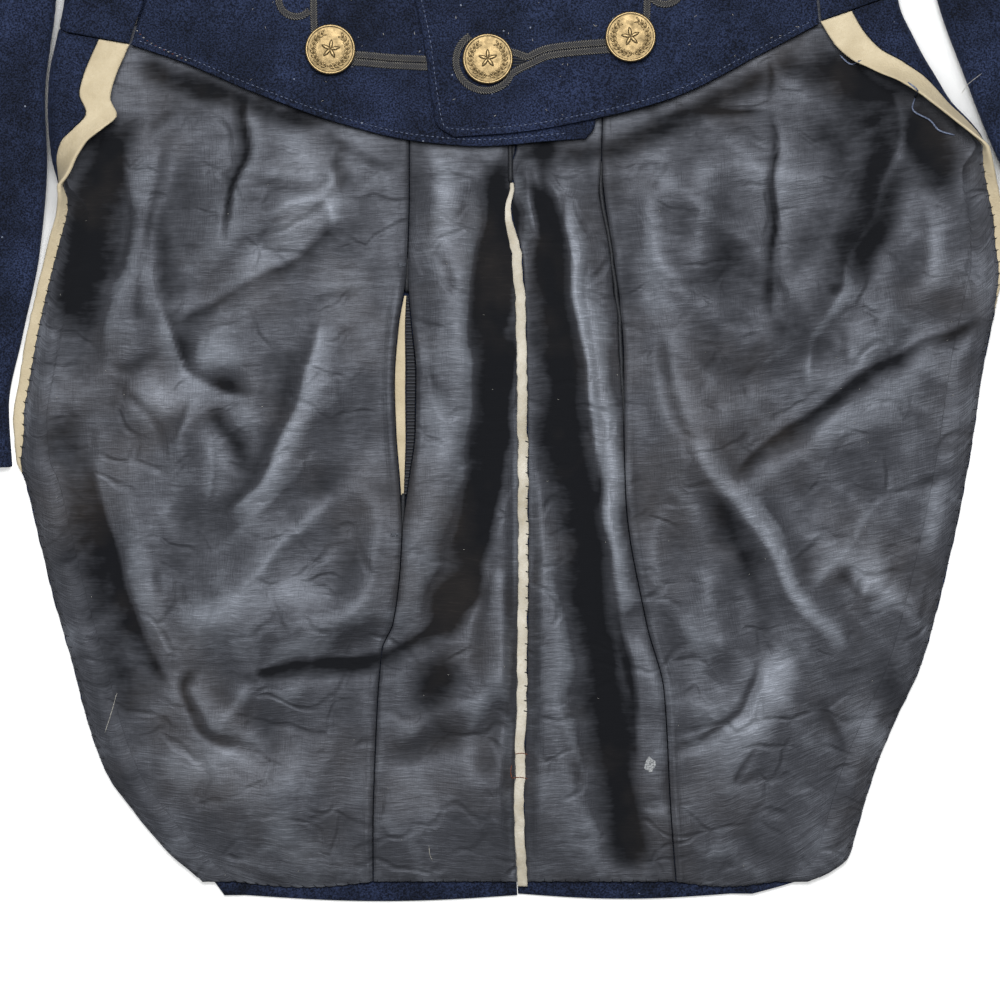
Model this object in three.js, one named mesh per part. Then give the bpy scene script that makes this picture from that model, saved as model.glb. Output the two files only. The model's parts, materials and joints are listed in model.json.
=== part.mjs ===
// Military tailcoat of about 1880, laid face up on a flat surface with its tails spread open.
// Millimetres, +Z up, +Y towards the collar, origin in the middle of the underside.
// Left and right are the wearer's, so the right side of the coat lies towards -X.
import * as THREE from "three";

// ---- driving dimensions ----
const woolThick = 2.0; // broadcloth of the tails
const bodyThick = 2.4; // broadcloth with its interlining, in the body and sleeves
const liningThick = 1.0; // polished cotton with its backing
const seamGap = 0.3; // between pieces that are sewn together
const liningGap = 0.5; // between the lining and the wool it lies on
const clothRoll = 4.3; // radius of the fold where cloth turns over at a side
const stripWidth = 4.6; // how much of the cream shows inside, beside the lining
const hemReveal = 6; // navy that shows below the lining at the hem
const ventTop = -114;
const centreX = -22; // middle of the chest and collar
const buttonRadius = 11.6;
const buttonRows = 7;
const rowPitch = 54;
const braidWidth = 3.6; // one strand
const braidThick = 1.3;
const curlRadius = 8; // middle of the strand in the curl above each outer button
const loopRadius = 13.6; // and in the loop round each middle button
const collarHeight = 46;
const collarThick = 2.6;
const collarDepth = 12.5; // front to back over the flattened collar
const neckHalf = 76;

// ---- colours ----
const navy = { color: 0x1c2440, roughness: 0.95, metalness: 0 };
const black = { color: 0x2b2d33, roughness: 0.45, metalness: 0 };
const cream = { color: 0xdccba3, roughness: 0.9, metalness: 0 };
const cord = { color: 0x3a3935, roughness: 0.6, metalness: 0 };
const gilt = { color: 0xb89a5e, roughness: 0.35, metalness: 1 };

const coat = new THREE.Group();
const radians = THREE.MathUtils.degToRad;
const lerp = THREE.MathUtils.lerp;
const clamp01 = (t) => Math.min(1, Math.max(0, t));
const ease = (t) => clamp01(t) ** 2 * (3 - 2 * clamp01(t));
const blend = (from, to, at) => ease((at - from) / (to - from));

function addPiece(name, geometry, finish) {
  const piece = new THREE.Mesh(geometry, new THREE.MeshStandardMaterial(finish));
  piece.name = name;
  coat.add(piece);
  return piece;
}

// A smooth curve through a table of rows. It never overshoots a row's value.
function table(columns, ...rows) {
  const read = (row, name) => row[columns.indexOf(name)];
  const key = columns[0];
  const rising = read(rows[rows.length - 1], key) > read(rows[0], key);
  const sorted = rising ? rows : [...rows].reverse();
  const at = sorted.map((row) => read(row, key));
  return (where) => {
    const x = Math.min(at[at.length - 1], Math.max(at[0], where));
    let k = 0;
    while (k < at.length - 2 && x > at[k + 1]) k++;
    const t = (x - at[k]) / (at[k + 1] - at[k]);
    const found = {};
    for (const name of columns.slice(1)) {
      const value = (i) => read(sorted[i], name);
      const slope = (i) => (value(i + 1) - value(i)) / (at[i + 1] - at[i]);
      const tangent = (i) => {
        if (i === 0) return slope(0);
        if (i === at.length - 1) return slope(i - 1);
        const [a, b] = [slope(i - 1), slope(i)];
        return a * b <= 0 ? 0 : (2 * a * b) / (a + b);
      };
      const step = at[k + 1] - at[k];
      const h = t * t * (3 - 2 * t);
      found[name] = value(k) * (1 - h) + value(k + 1) * h
        + step * (tangent(k) * t * (1 - t) ** 2 - tangent(k + 1) * t * t * (1 - t));
    }
    return found;
  };
}

// A wall between two grids of points. Each face gives a point by row and column, 0 to 1, and by
// their numbers.
function sheet(rows, columns, over, under) {
  const positions = [];
  for (const face of [over, under]) {
    for (let r = 0; r <= rows; r++) {
      for (let c = 0; c <= columns; c++) positions.push(...face(r / rows, c / columns, r, c));
    }
  }
  const layer = (rows + 1) * (columns + 1);
  const top = (r, c) => r * (columns + 1) + c;
  const low = (r, c) => layer + top(r, c);
  const index = [];
  const quad = (a, b, c, d) => index.push(a, b, c, a, c, d);
  for (let r = 0; r < rows; r++) {
    for (let c = 0; c < columns; c++) {
      quad(top(r, c), top(r, c + 1), top(r + 1, c + 1), top(r + 1, c));
      quad(low(r, c), low(r + 1, c), low(r + 1, c + 1), low(r, c + 1));
    }
    quad(top(r, 0), top(r + 1, 0), low(r + 1, 0), low(r, 0));
    quad(top(r, columns), low(r, columns), low(r + 1, columns), top(r + 1, columns));
  }
  for (let c = 0; c < columns; c++) {
    quad(top(0, c), low(0, c), low(0, c + 1), top(0, c + 1));
    quad(top(rows, c), top(rows, c + 1), low(rows, c + 1), low(rows, c));
  }
  return facingOut(positions, index);
}

function facingOut(positions, index) {
  const corner = (i) => new THREE.Vector3().fromArray(positions, 3 * index[i]);
  let volume = 0;
  for (let i = 0; i < index.length; i += 3) {
    volume += corner(i).dot(corner(i + 1).cross(corner(i + 2)));
  }
  if (volume < 0) {
    for (let i = 0; i < index.length; i += 3) [index[i], index[i + 1]] = [index[i + 1], index[i]];
  }
  const geometry = new THREE.BufferGeometry();
  geometry.setAttribute("position", new THREE.Float32BufferAttribute(positions, 3));
  geometry.setIndex(index);
  geometry.computeVertexNormals();
  return geometry;
}

// ---- the coat's outline ----
// The waist seam across the back, where the tails hang from the body.
const waistY = (x) => -33 + 0.049 * (x + 8);
// The vent: the right tail ends on it, the left tail starts on it.
const ventLine = table(["y", "x"], [-33, -8], [-114, -5.6], [-127, -7.8], [-152, -4.3], [-182, -2.8],
  [-278, -1.8], [-338, -2.3], [-403, -3.7], [-445, -1.8]);
const fromMiddle = (x) => Math.abs(x - centreX);
// The neckline of the fronts, where the collar stands, and the top of the backs with the shoulders.
const neckFrontY = (x) => 324.7 + 60.3 * Math.min(1, fromMiddle(x) / neckHalf) ** 2.2;
const backTopY = (x) => 397 - 0.33 * (Math.hypot(fromMiddle(x), 40) - 40);

// Each tail by rows down its length. reach: how far it lies from x = 0. At its front edge the cloth
// leaves the ground through a roll of radius curl, turns over by turn degrees and runs on for flap.
// slant: how far the flap falls at the waist seam. seam: where the two lining panels meet.
const rightTail = {
  side: -1,
  name: "right",
  top: -43.2,
  foot: -442.2,
  slant: 7.6,
  row: table(["y", "reach", "curl", "turn", "flap"],
    [-43, 213, clothRoll, 180, 28.6], [-52, 215, 4.9, 180, 26.3], [-62, 217, 5.9, 180, 24],
    [-71.5, 217.8, 6.5, 180, 22.5], [-81.6, 218, 7, 176, 25.9], [-89.9, 217.6, 7, 163, 21],
    [-95.9, 217.1, 6.5, 150, 16.5], [-103.7, 216.2, 6, 132, 15], [-112, 214, 5, 108, 15],
    [-119, 212.8, 5, 78, 15], [-126.7, 213.9, 6, 45, 15], [-138.2, 217.1, 10, 22, 15],
    [-152, 220.8, 14, 12, 15], [-182, 227.7, 14, 9, 15], [-205, 231.8, 14, 8, 15],
    [-222, 234.4, 14, 8, 15], [-242, 232.8, 14, 7, 15], [-251, 229.1, 14, 7, 15], [-280, 222, 14, 6, 15],
    [-307, 215.3, 14, 6, 15], [-336, 207, 14, 6, 15], [-363, 200, 14, 6, 15], [-386, 191.3, 14, 6, 15],
    [-407, 176.2, 14, 5, 15], [-424, 161.5, 14, 5, 15], [-435, 148.6, 14, 5, 15],
    [-442.2, 143.1, 14, 5, 15]),
  seam: table(["y", "x"], [-46, -52], [-118, -51.8], [-160, -52.9], [-272, -55], [-291, -55.9],
    [-317, -59.3], [-329, -64.4], [-374, -67.4], [-413, -68.5], [-440, -68.5]),
  bare: table(["y", "width"], [-43, stripWidth], [-225, stripWidth], [-252, seamGap], [-445, seamGap]),
  hemBow: 2.8,
};
const leftTail = {
  side: 1,
  name: "left",
  top: -24.2,
  foot: -441.5,
  slant: 16,
  row: table(["y", "reach", "curl", "turn", "flap"],
    [-24, 172, clothRoll, 180, 30.5], [-34, 174, 4.8, 180, 27.2], [-46, 179.5, 5.6, 180, 24],
    [-56, 184.6, 6.5, 172, 18], [-64, 189.5, 7, 150, 16], [-77, 197.5, 6, 128, 15],
    [-85.7, 206, 5, 120, 15], [-92, 211, 5, 108, 15], [-100, 214.5, 5, 80, 15], [-108, 217.1, 6, 48, 15],
    [-120, 219.9, 9, 25, 15], [-136, 222.6, 12, 14, 15], [-150, 222.6, 14, 10, 15],
    [-168, 219, 14, 8, 15], [-197, 213, 14, 7, 15], [-237, 207, 14, 6, 15], [-269, 201, 14, 6, 15],
    [-303, 193.2, 14, 6, 15], [-336, 184, 14, 6, 15], [-360, 173, 14, 6, 15], [-383, 163.3, 14, 6, 15],
    [-410, 155, 14, 5, 15], [-425, 150.4, 14, 5, 15], [-431, 143.1, 14, 5, 15],
    [-436, 132, 14, 5, 15], [-441.5, 112, 14, 5, 15]),
  seam: table(["y", "x"], [-46, 38], [-95, 36.8], [-112, 36.6], [-147, 41.4], [-187, 45.8], [-260, 47.8],
    [-317, 57.3], [-348, 65.3], [-404, 68.5], [-440, 71.3]),
  bare: table(["y", "width"], [-24, stripWidth], [-135, stripWidth], [-172, seamGap], [-445, seamGap]),
  hemBow: 2.4,
};

const stations = (from, to, count) => Array.from({ length: count }, (_, i) => lerp(from, to, i / count));
const tailRows = (tail) => [
  ...stations(tail.top, -132, 13),
  ...stations(-132, -420, 12),
  ...stations(-420, tail.foot, 3),
  tail.foot,
];

// A point of cloth that turns over at its outer edge. stretch 0..1 runs over the ground from the
// inner limit and 1..2 round the roll. run is the way on along the flap, and depth is inwards from
// the outer face.
function wrapPoint(row, inner, stretch, run, depth) {
  const turn = radians(row.turn);
  const past = row.turn < 90 ? row.curl * Math.sin(turn) + row.flap * Math.cos(turn) : row.curl;
  const bend = turn * clamp01(stretch - 1);
  const out = lerp(inner, row.reach - past, clamp01(stretch))
    + row.curl * Math.sin(bend) + run * Math.cos(turn) - depth * Math.sin(bend);
  const z = row.curl * (1 - Math.cos(bend)) + run * Math.sin(turn) + depth * Math.cos(bend);
  return [out, z];
}

// Width of the cream band along the front edge of a tail, and where the band stops.
const band = table(["y", "width"], [-24, 14.5], [-390, 14.5], [-425, 6]);
const bandWidth = (y) => band(y).width;
const bandFoot = -434;

// Columns of a tail's grid: over the ground and round the roll, or so far from the flap's end.
const around = (...list) => list.map((stretch) => () => [stretch, 0]);
const fromEnd = (distance) => (row, y) => [2, row.flap - (distance.call ? distance(y) : distance)];


function tailPoint(tail, station, inner, column, depth) {
  const row = tail.row(station);
  const [stretch, run] = column(row, station);
  const fade = 1 - blend(0, 60, tail.top - station);
  const rise = (x) => (waistY(x) - seamGap / 2 - tail.top) * fade;
  const limit = inner(station + rise(0));
  const [out, z] = wrapPoint(row, limit, stretch, run, depth);
  const x = tail.side * out;
  const fall = tail.slant * fade * (0.35 * clamp01(2 * stretch - 3) + (0.65 * run) / row.flap);
  const bow = blend(-380, -442, station) * tail.hemBow * Math.sin(Math.PI * clamp01(stretch));
  return [x, station + (stretch <= 1 ? rise(x) : 0) - fall - bow, z];
}

const innerEdge = (tail) => (y) => tail.side * ventLine(y).x + seamGap / 2;

function tailSheet(tail, rows, columns, inner, near, far) {
  const face = (depth) => (v, u, r, c) => {
    const extra = depth.call ? depth(rows[r], c) : depth;
    return tailPoint(tail, rows[r], inner, columns[c], extra);
  };
  return sheet(rows.length - 1, columns.length - 1, face(near), face(far));
}

for (const tail of [rightTail, leftTail]) {
  const rows = tailRows(tail);
  const cloth = [...around(0, 0.33, 0.67, 1, 1.25, 1.5, 1.75, 2), fromEnd(bandWidth)];
  const edge = [fromEnd((y) => bandWidth(y) - seamGap), fromEnd(stripWidth), fromEnd(0)];
  const edgeRows = [...rows.filter((y) => y > bandFoot + 2), bandFoot];
  addPiece(`tail_${tail.name}`, tailSheet(tail, rows, cloth, innerEdge(tail), 0, woolThick), navy);
  addPiece(`band_${tail.name}`, tailSheet(tail, edgeRows, edge, innerEdge(tail), 0, woolThick), cream);
}

// ---- folds of the lining ----
// Each fold runs through the listed points. height is above the cloth round it and width is to
// where the fold has died away.
const folds = [
  { height: 5, width: 17, path: [[-88, -180], [-110, -223], [-126, -247], [-147, -272]] },
  { height: 6, width: 12, path: [[-181, -92], [-178, -131], [-180, -177], [-190, -220]] },
  { height: 4, width: 15, path: [[-84, -120], [-110, -128], [-121, -150], [-152, -171]] },
  { height: 4.5, width: 15, path: [[-196, -262], [-180, -300], [-158, -340], [-140, -368]] },
  { height: 3.5, width: 18, path: [[-88, -340], [-120, -373], [-158, -392]] },
  { height: 3.5, width: 14, path: [[-84, -265], [-120, -268], [-150, -285]] },
  { height: 6.5, width: 18, path: [[-22, -112], [-24, -182], [-20, -232], [-31, -274], [-46, -308], [-64, -326]] },
  { height: 3, width: 14, path: [[-40, -345], [-30, -380], [-40, -415]] },
  { height: 6, width: 13, path: [[26, -104], [31, -136], [36, -182], [36, -232], [41, -288], [45, -343], [55, -398]] },
  { height: 5, width: 16, path: [[62, -200], [83, -238], [106, -272], [134, -307], [154, -330]] },
  { height: 4, width: 14, path: [[110, -250], [140, -236], [170, -222], [196, -190]] },
  { height: 3.5, width: 11, path: [[172, -92], [163, -120], [148, -150], [122, -186]] },
  { height: 4, width: 15, path: [[80, -286], [88, -320], [96, -352], [104, -390]] },
  { height: 4, width: 13, path: [[130, -340], [140, -362], [144, -384]] },
  { height: 3, width: 14, path: [[86, -110], [84, -150], [74, -190]] },
];
const liningPuff = 1.2; // how far the slack lining stands off the wool

function foldHeight(x, y) {
  let height = liningPuff;
  for (const fold of folds) {
    let near = Infinity;
    let along = 0;
    const last = fold.path.length - 1;
    for (let i = 0; i < last; i++) {
      const [ax, ay] = fold.path[i];
      const [bx, by] = fold.path[i + 1];
      const span = (bx - ax) ** 2 + (by - ay) ** 2;
      const t = clamp01(((x - ax) * (bx - ax) + (y - ay) * (by - ay)) / span);
      const gap = Math.hypot(x - lerp(ax, bx, t), y - lerp(ay, by, t));
      if (gap < near) [near, along] = [gap, (i + t) / last];
    }
    const taper = Math.sin(Math.PI * (0.12 + 0.76 * along));
    height += fold.height * taper * (1 - ease(near / fold.width));
  }
  return height;
}

// The lower edge of the fronts, which press on the lining below them.
const rightHem = table(["x", "y"], [-180.3, -50.8], [-156, -59], [-123, -72.9], [-84, -87], [-48, -95.4],
  [-18, -97.7], [11, -95.4], [29.4, -94]);
const leftHem = table(["x", "y"], [-31.3, -93.6], [-3.7, -91.7], [31, -85.7], [68, -76], [109, -55.8],
  [137, -41]);
const hemY = (x) => (x < -25 ? rightHem(x).y : Math.min(rightHem(x).y, leftHem(x).y));

// How far the lining stands off the wool below it.
function liningHeight(tail, station, x, y, stretch) {
  const row = tail.row(station);
  const underFront = 2.3 + 9 * blend(4, 26, hemY(x) - y);
  const inRoll = row.turn > 60 ? Math.max(0, row.curl - 4.2) : 3;
  const limit = Math.min(underFront, lerp(underFront, inRoll, ease(stretch)));
  return Math.min(foldHeight(x, y), limit) * blend(-438, -426, y);
}

// Pocket slit in the seam of the right tail's lining: half its width by length.
const slit = table(["y", "out", "in"], [-150, 0.15, 0.15], [-156, 0.3, 0.3], [-180, 3.8, 2.8],
  [-204, 5.2, 5.2], [-228, 4.2, 5.2], [-252, 1.9, 2.6], [-272, 0.15, 0.15]);

for (const tail of [rightTail, leftTail]) {
  const rows = tailRows(tail).map((y) => Math.max(y, -442 + hemReveal));
  const pocket = (y, which) => (tail === rightTail ? slit(y)[which] : seamGap / 2);
  const seamFrom = (which) => (y) => tail.side * tail.seam(y).x + (which === "out" ? 1 : -1) * pocket(y, which);

  const front = [...around(0, 0.16, 0.32, 0.48, 0.66, 0.84, 1, 1.25, 1.5, 1.75, 2),
    fromEnd(bandWidth), fromEnd((y) => tail.bare(y).width)];
  const standing = (extra) => (station, c) => {
    const [x, y] = tailPoint(tail, station, seamFrom("out"), front[c], 0);
    const [stretch] = front[c](tail.row(station), station);
    const edge = c === 0 || c === front.length - 1 ? 0 : 1;
    return woolThick + liningGap + extra + edge * liningHeight(tail, station, x, y, stretch);
  };
  addPiece(`lining_${tail.name}_front`,
    tailSheet(tail, rows, front, seamFrom("out"), standing(liningThick), standing(0)), black);

  const columns = 5;
  const margin = (y) => (tail.side > 0 ? (stripWidth + 2 * seamGap) * blend(ventTop + 6, ventTop - 4, y) : 0);
  const face = (extra) => (v, u, r, c) => {
    const y = rows[r];
    const x = tail.side * lerp(innerEdge(tail)(y) + margin(y), seamFrom("in")(y), u);
    const edge = c === 0 || c === columns ? 0 : 1;
    return [x, y, woolThick + liningGap + extra + edge * liningHeight(tail, y, x, y, 0)];
  };
  addPiece(`lining_${tail.name}_back`,
    sheet(rows.length - 1, columns, face(liningThick), face(0)), black);
}

// Cream edging of the vent, on the left tail's inner edge.
const ventFace = (z) => (v, u) => {
  const y = lerp(ventTop, -438, v);
  const x = innerEdge(leftTail)(y) + lerp(0, stripWidth, u) * lerp(0.35, 1, clamp01(v * 12));
  return [x, y, z];
};
addPiece("vent_edging", sheet(16, 1, ventFace(3.7), ventFace(woolThick + seamGap)), cream);

// Pocket: cream bag that shows through the slit, and the ribbed facing along its inner side.
function slitStrip(name, shareFrom, shareTo, thick, finish) {
  const levels = [-166, -180, -204, -228, -252, -258];
  const face = (z) => (v, u, r) => {
    const y = levels[r];
    const seamX = rightTail.seam(y).x;
    const from = seamX - slit(y).out + 0.5;
    const to = seamX + slit(y).in - 0.5;
    return [lerp(from, to, lerp(shareFrom, shareTo, u)), y, z];
  };
  addPiece(name, sheet(levels.length - 1, 1, face(woolThick + seamGap + thick), face(woolThick + seamGap)), finish);
}
slitStrip("pocket_bag", 0, 0.5, 1.2, cream);
slitStrip("pocket_facing", 0.55, 1, 1.8, black);

// ---- body ----
// Height of the upper face of the body: level at the sides, fuller over the padded chest.
function bodyTop(x, y) {
  const across = Math.abs(x - centreX) / 190;
  const chest = blend(-20, 150, y) * (1 - blend(250, 345, y));
  return 2 * clothRoll + 3.2 * chest * (1 - ease(across)) + 0.6 * (1 - ease(across * 1.3));
}
const bodyUnder = 2 * clothRoll - bodyThick;

// Side bodies: they wrap round each side from the front's seam to the back.
const backSeamIn = 34; // from the side fold to the seam of the back
const rightSide = table(["y", "reach", "seam"], [-51, 215, 180.3], [-43, 213, 178], [-30, 210.5, 173.6], [-2, 208, 172.6],
  [40, 214, 177], [80, 224, 186], [120, 234, 200.5], [150, 240.5, 215], [185, 246.5, 236]);
const leftSide = table(["y", "reach", "seam"], [-40, 178, 137.2], [-24, 172, 135.6], [-10, 166, 134.5], [10, 164.5, 131.5],
  [40, 170, 133], [80, 180, 142], [120, 190, 156.5], [150, 196.5, 171], [185, 202.5, 192]);

const sideLevels = (foot) => [...stations(foot, 183.4, 13), 183.4];

function makeSide(name, side, outline, foot, slant) {
  const stops = [0, 1, 1.25, 1.5, 1.75, 2, 3];
  const levels = sideLevels(foot);
  const face = (depth) => (v, u, r, c) => {
    const fade = 1 - blend(0, 50, levels[r] - foot);
    const rise = (x) => (stops[c] <= 1 ? (waistY(x) + seamGap / 2 - foot) * fade : 0);
    const { reach } = outline(levels[r] + rise(side * (outline(levels[r]).reach - backSeamIn)));
    const { seam } = outline(levels[r] - slant * fade);
    const flap = reach - clothRoll - seam - seamGap;
    const run = (flap - 0.1) * clamp01(stops[c] - 2);
    const row = { reach, curl: clothRoll, turn: 180, flap };
    const [out, z] = wrapPoint(row, reach - backSeamIn, stops[c], run, depth);
    const fall = slant * clamp01((stops[c] - 1.5) / 1.5) * fade;
    return [side * out, levels[r] - fall + rise(side * out), z];
  };
  addPiece(name, sheet(levels.length - 1, stops.length - 1, face(0), face(bodyThick)), navy);
}
makeSide("side_body_right", -1, rightSide, -42.8, 7.6);
makeSide("side_body_left", 1, leftSide, -23.8, 16);

// Backs, flat on the ground. They meet on the centre back seam.
const centreBackX = (y) => lerp(-8, centreX, clamp01((y + 33) / 430));
const chestHalf = 225;
// How far the armhole lies inside the widest line of the chest.
const armhole = table(["y", "in"], [185, -1], [190, -1], [200, 9], [212, 17], [230, 25], [262, 32],
  [305, 28], [340, 15.3]);
const armholeX = (side, y) => centreX + side * (chestHalf - armhole(y).in);

function makeBack(name, side) {
  const outline = side < 0 ? rightSide : leftSide;
  const foot = side < 0 ? -42.8 : -23.8;
  const levels = [...sideLevels(foot), 199, 210, 222, 240, 262, 290, 318, 340];
  const face = (z) => (v, u, r) => {
    const level = levels[r];
    const outer = level <= 185
      ? side * (outline(level).reach - backSeamIn - 2 * seamGap)
      : armholeX(side, level) - side * 2 * seamGap;
    const share = (level - foot) / (340 - foot);
    const middle = lerp(waistY(-8) + seamGap / 2, 397, share);
    const x = lerp(centreBackX(middle) + side * seamGap / 2, outer, u);
    const straight = lerp(middle, level, u);
    const y = r === 0 ? waistY(x) + seamGap / 2 : lerp(straight, backTopY(x), blend(0.9, 1, share));
    return [x, y, z];
  };
  addPiece(name, sheet(levels.length - 1, 4, face(bodyThick - 0.2), face(0)), navy);
}
makeBack("back_right", -1);
makeBack("back_left", 1);

// Fronts by ribs from the hem to the shoulder: outer end, inner end, and how much of the hem's curve
// the rib still follows.
// The outer ends above the hem lie on the side seam and then on the armhole.
const rightFrontRibs = table(["rib", "ox", "oy", "ix", "iy", "hem"],
  [0, -180, -50.8, 29.4, -94, 1], [1, 0, -45, 33.5, -88, 0.85], [2, 0, -30, 34.5, -68, 0.5],
  [3, 0, -2, 34, -38, 0.15], [4, 0, 40, 31, 10, 0], [5, 0, 80, 28, 60, 0], [6, 0, 130, 24, 115, 0],
  [7, 0, 184, 20, 168, 0], [8, 0, 195, 18, 194, 0], [9, 0, 218, 14, 232, 0], [10, 0, 262, 9, 280, 0],
  [11, 0, 297, 4, 323.8, 0], [12, 0, 322, -44, 327.7, 0], [13, 0, 334, -76, 354.5, 0],
  [14, 0, 339, -97.4, 384, 0]);
const leftFrontRibs = table(["rib", "ox", "oy", "ix", "iy", "hem"],
  [0, 136.8, -40.6, -31.3, -93.6, 1], [1, 0, -36, -39, -88, 0.9], [2, 0, -28, -41.5, -76, 0.6],
  [3, 0, -2, -45, -50, 0.2], [4, 0, 40, -55, 5, 0], [5, 0, 80, -56, 60, 0], [6, 0, 130, -55, 115, 0],
  [7, 0, 184, -52, 168, 0], [8, 0, 195, -50, 194, 0], [9, 0, 218, -47, 232, 0], [10, 0, 262, -43, 280, 0],
  [11, 0, 297, -40, 323.8, 0], [12, 0, 322, 0, 327.7, 0], [13, 0, 334, 32, 354.5, 0],
  [14, 0, 339, 53.4, 384, 0]);

// Height of the left front: it lies over the right front as far as the lap reaches.
const lapEnd = { covered: 38, clear: 112 };
const onLap = (x) => 1 - blend(lapEnd.covered, lapEnd.clear, x);
const leftFrontTop = (x, y) => bodyTop(x, y) + (bodyThick + seamGap) * onLap(x);
const leftFrontUnder = (x, y) => lerp(bodyUnder, bodyTop(x, y) + 2 * seamGap, onLap(x));

function makeFront(name, side, ribs, hem, topAt, underAt) {
  const last = 14;
  const columns = 8;
  const sideSeam = side < 0 ? rightSide : leftSide;
  const outline = (rib, u) => {
    const row = ribs(rib);
    const first = ribs(0);
    const seamX = row.oy < 185 ? side * sideSeam(row.oy).seam : armholeX(side, row.oy);
    const ox = rib > 0 ? seamX - side * 2 * seamGap : row.ox;
    const iy = row.iy > 322 ? neckFrontY(row.ix) - 0.9 : row.iy;
    const x = lerp(ox - side * 0.15, row.ix, u);
    const share = clamp01((x - first.ox) / (first.ix - first.ox));
    const curve = hem(x).y - lerp(first.oy, first.iy, share);
    return [x, lerp(row.oy, iy, u) + row.hem * curve];
  };
  const stand = bodyThick + seamGap;
  const levels = [...stations(0, 7, 14), ...stations(7, 11, 8), ...stations(11, 14, 6), last];
  const face = (isTop) => (v, u, r) => {
    const rib = levels[r];
    const [x, y] = outline(rib, u);
    const flatZ = isTop ? topAt(x, y) : underAt(x, y);
    // the last rib turns down over the shoulder on to the back
    const turn = clamp01(rib - last + 1) * clamp01(5 * (1 - u) + 0.15) * (Math.PI / 2);
    return [x, y - (isTop ? 0 : bodyThick * Math.sin(turn)), stand + (flatZ - stand) * Math.cos(turn)];
  };
  return addPiece(name, sheet(levels.length - 1, columns, face(true), face(false)), navy);
}
const rightFront = makeFront("front_right", -1, rightFrontRibs, rightHem, bodyTop, () => bodyUnder);
const leftFront = makeFront("front_left", 1, leftFrontRibs, leftHem, leftFrontTop, leftFrontUnder);

// ---- sleeves ----
// Ribs from the armhole to the cuff: the end by the body, the end away from it, and how far the rib
// follows the armhole's curve.
const rightSleeveRibs = table(["rib", "ix", "iy", "ox", "oy", "curve"],
  [0, -249, 190, -232.9, 341, 1], [1, -249, 165, -268, 330, 0.6], [2, -245, 138, -305, 302, 0.25],
  [3, -239, 108, -340, 252, 0], [4, -229, 72, -366, 188, 0], [5, -219, 35, -384, 118, 0],
  [6, -213, 0, -393, 48, 0], [7, -214.5, -32, -396, -14, 0], [8, -219.5, -75, -394, -72, 0],
  [9, -218.5, -106, -389, -112, 0], [10, -221.8, -146, -382, -152, 0], [11, -229.6, -184, -375, -188, 0],
  [12, -236, -217, -370, -220, 0], [13, -234.4, -245, -365, -249, 0]);
const leftSleeveRibs = table(["rib", "ix", "iy", "ox", "oy", "curve"],
  [0, 205, 190, 188.9, 341, 1], [1, 205, 165, 224, 330, 0.6], [2, 201, 138, 262, 302, 0.25],
  [3, 196, 106, 297, 252, 0], [4, 190.5, 70, 322, 192, 0], [5, 186, 33, 341, 132, 0],
  [6, 185, 0, 354, 76, 0], [7, 191, -30, 364, 28, 0], [8, 203.5, -65, 373, -15, 0],
  [9, 214.5, -93, 380, -52, 0], [10, 226, -119, 386, -85, 0], [11, 241, -154, 391, -118, 0],
  [12, 256, -193, 395, -150, 0], [13, 272, -234, 396, -187, 0]);
// Ridges across a sleeve: where down it, where across it, length, width and height.
const sleeveRidges = [
  { rib: 2.2, at: 0.35, across: 0.45, down: 0.9, height: 2.6 },
  { rib: 5, at: 0.7, across: 0.35, down: 1.1, height: 2.2 },
  { rib: 6.8, at: 0.3, across: 0.4, down: 0.8, height: 2.6 },
  { rib: 9.6, at: 0.6, across: 0.3, down: 1.8, height: 2 },
];

const crown = (rib, share) => sleeveRidges.reduce((sum, ridge) => sum + ridge.height
  * (1 - ease(Math.hypot((rib - ridge.rib) / ridge.down, (share - ridge.at) / ridge.across))), 0)
  + 1.6 * Math.sin(Math.PI * share);

function makeSleeve(name, side, ribs) {
  const last = 13;
  const span = ({ ix, iy, ox, oy }) => Math.hypot(ox - ix, oy - iy);
  const first = ribs(0);
  const place = (row, distance) => {
    const share = distance / span(row);
    const hollow = armholeX(side, lerp(first.iy, first.oy, share)) - lerp(first.ix, first.ox, share);
    const y = lerp(row.iy, row.oy, share);
    const bow = row.curve * (hollow + side * 3 * seamGap) * blend(188, 204, y);
    return [lerp(row.ix, row.ox, share) + bow, y];
  };
  // 0..1 rolls up from the ground by the body, 1..2 crosses the top, 2..3 rolls down again
  const stops = [0, 0.25, 0.5, 0.75, 1, 1.12, 1.26, 1.42, 1.58, 1.78, 2, 2.25, 2.5, 2.75, 3];
  const topFace = (depth) => (v, u, r, c) => {
    const row = ribs(v * last);
    const across = clamp01(stops[c] - 1);
    const angle = Math.PI * (clamp01(stops[c]) + clamp01(stops[c] - 2));
    const roll = clothRoll - depth;
    const distance = lerp(clothRoll, span(row) - clothRoll, across) - roll * Math.sin(angle);
    const lift = across > 0 && across < 1 ? crown(v * last, across) : 0;
    return [...place(row, distance), clothRoll - roll * Math.cos(angle) + lift];
  };
  addPiece(`top_sleeve_${name}`, sheet(last, stops.length - 1, topFace(0), topFace(bodyThick)), navy);
  const underFace = (z) => (v, u) => {
    const row = ribs(v * last);
    const inset = clothRoll + 2 * seamGap + 2 * row.curve;
    return [...place(row, lerp(inset, span(row) - inset, u)), z];
  };
  addPiece(`under_sleeve_${name}`, sheet(last, 4, underFace(bodyThick), underFace(0)), navy);
}
makeSleeve("right", -1, rightSleeveRibs);
makeSleeve("left", 1, leftSleeveRibs);

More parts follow.
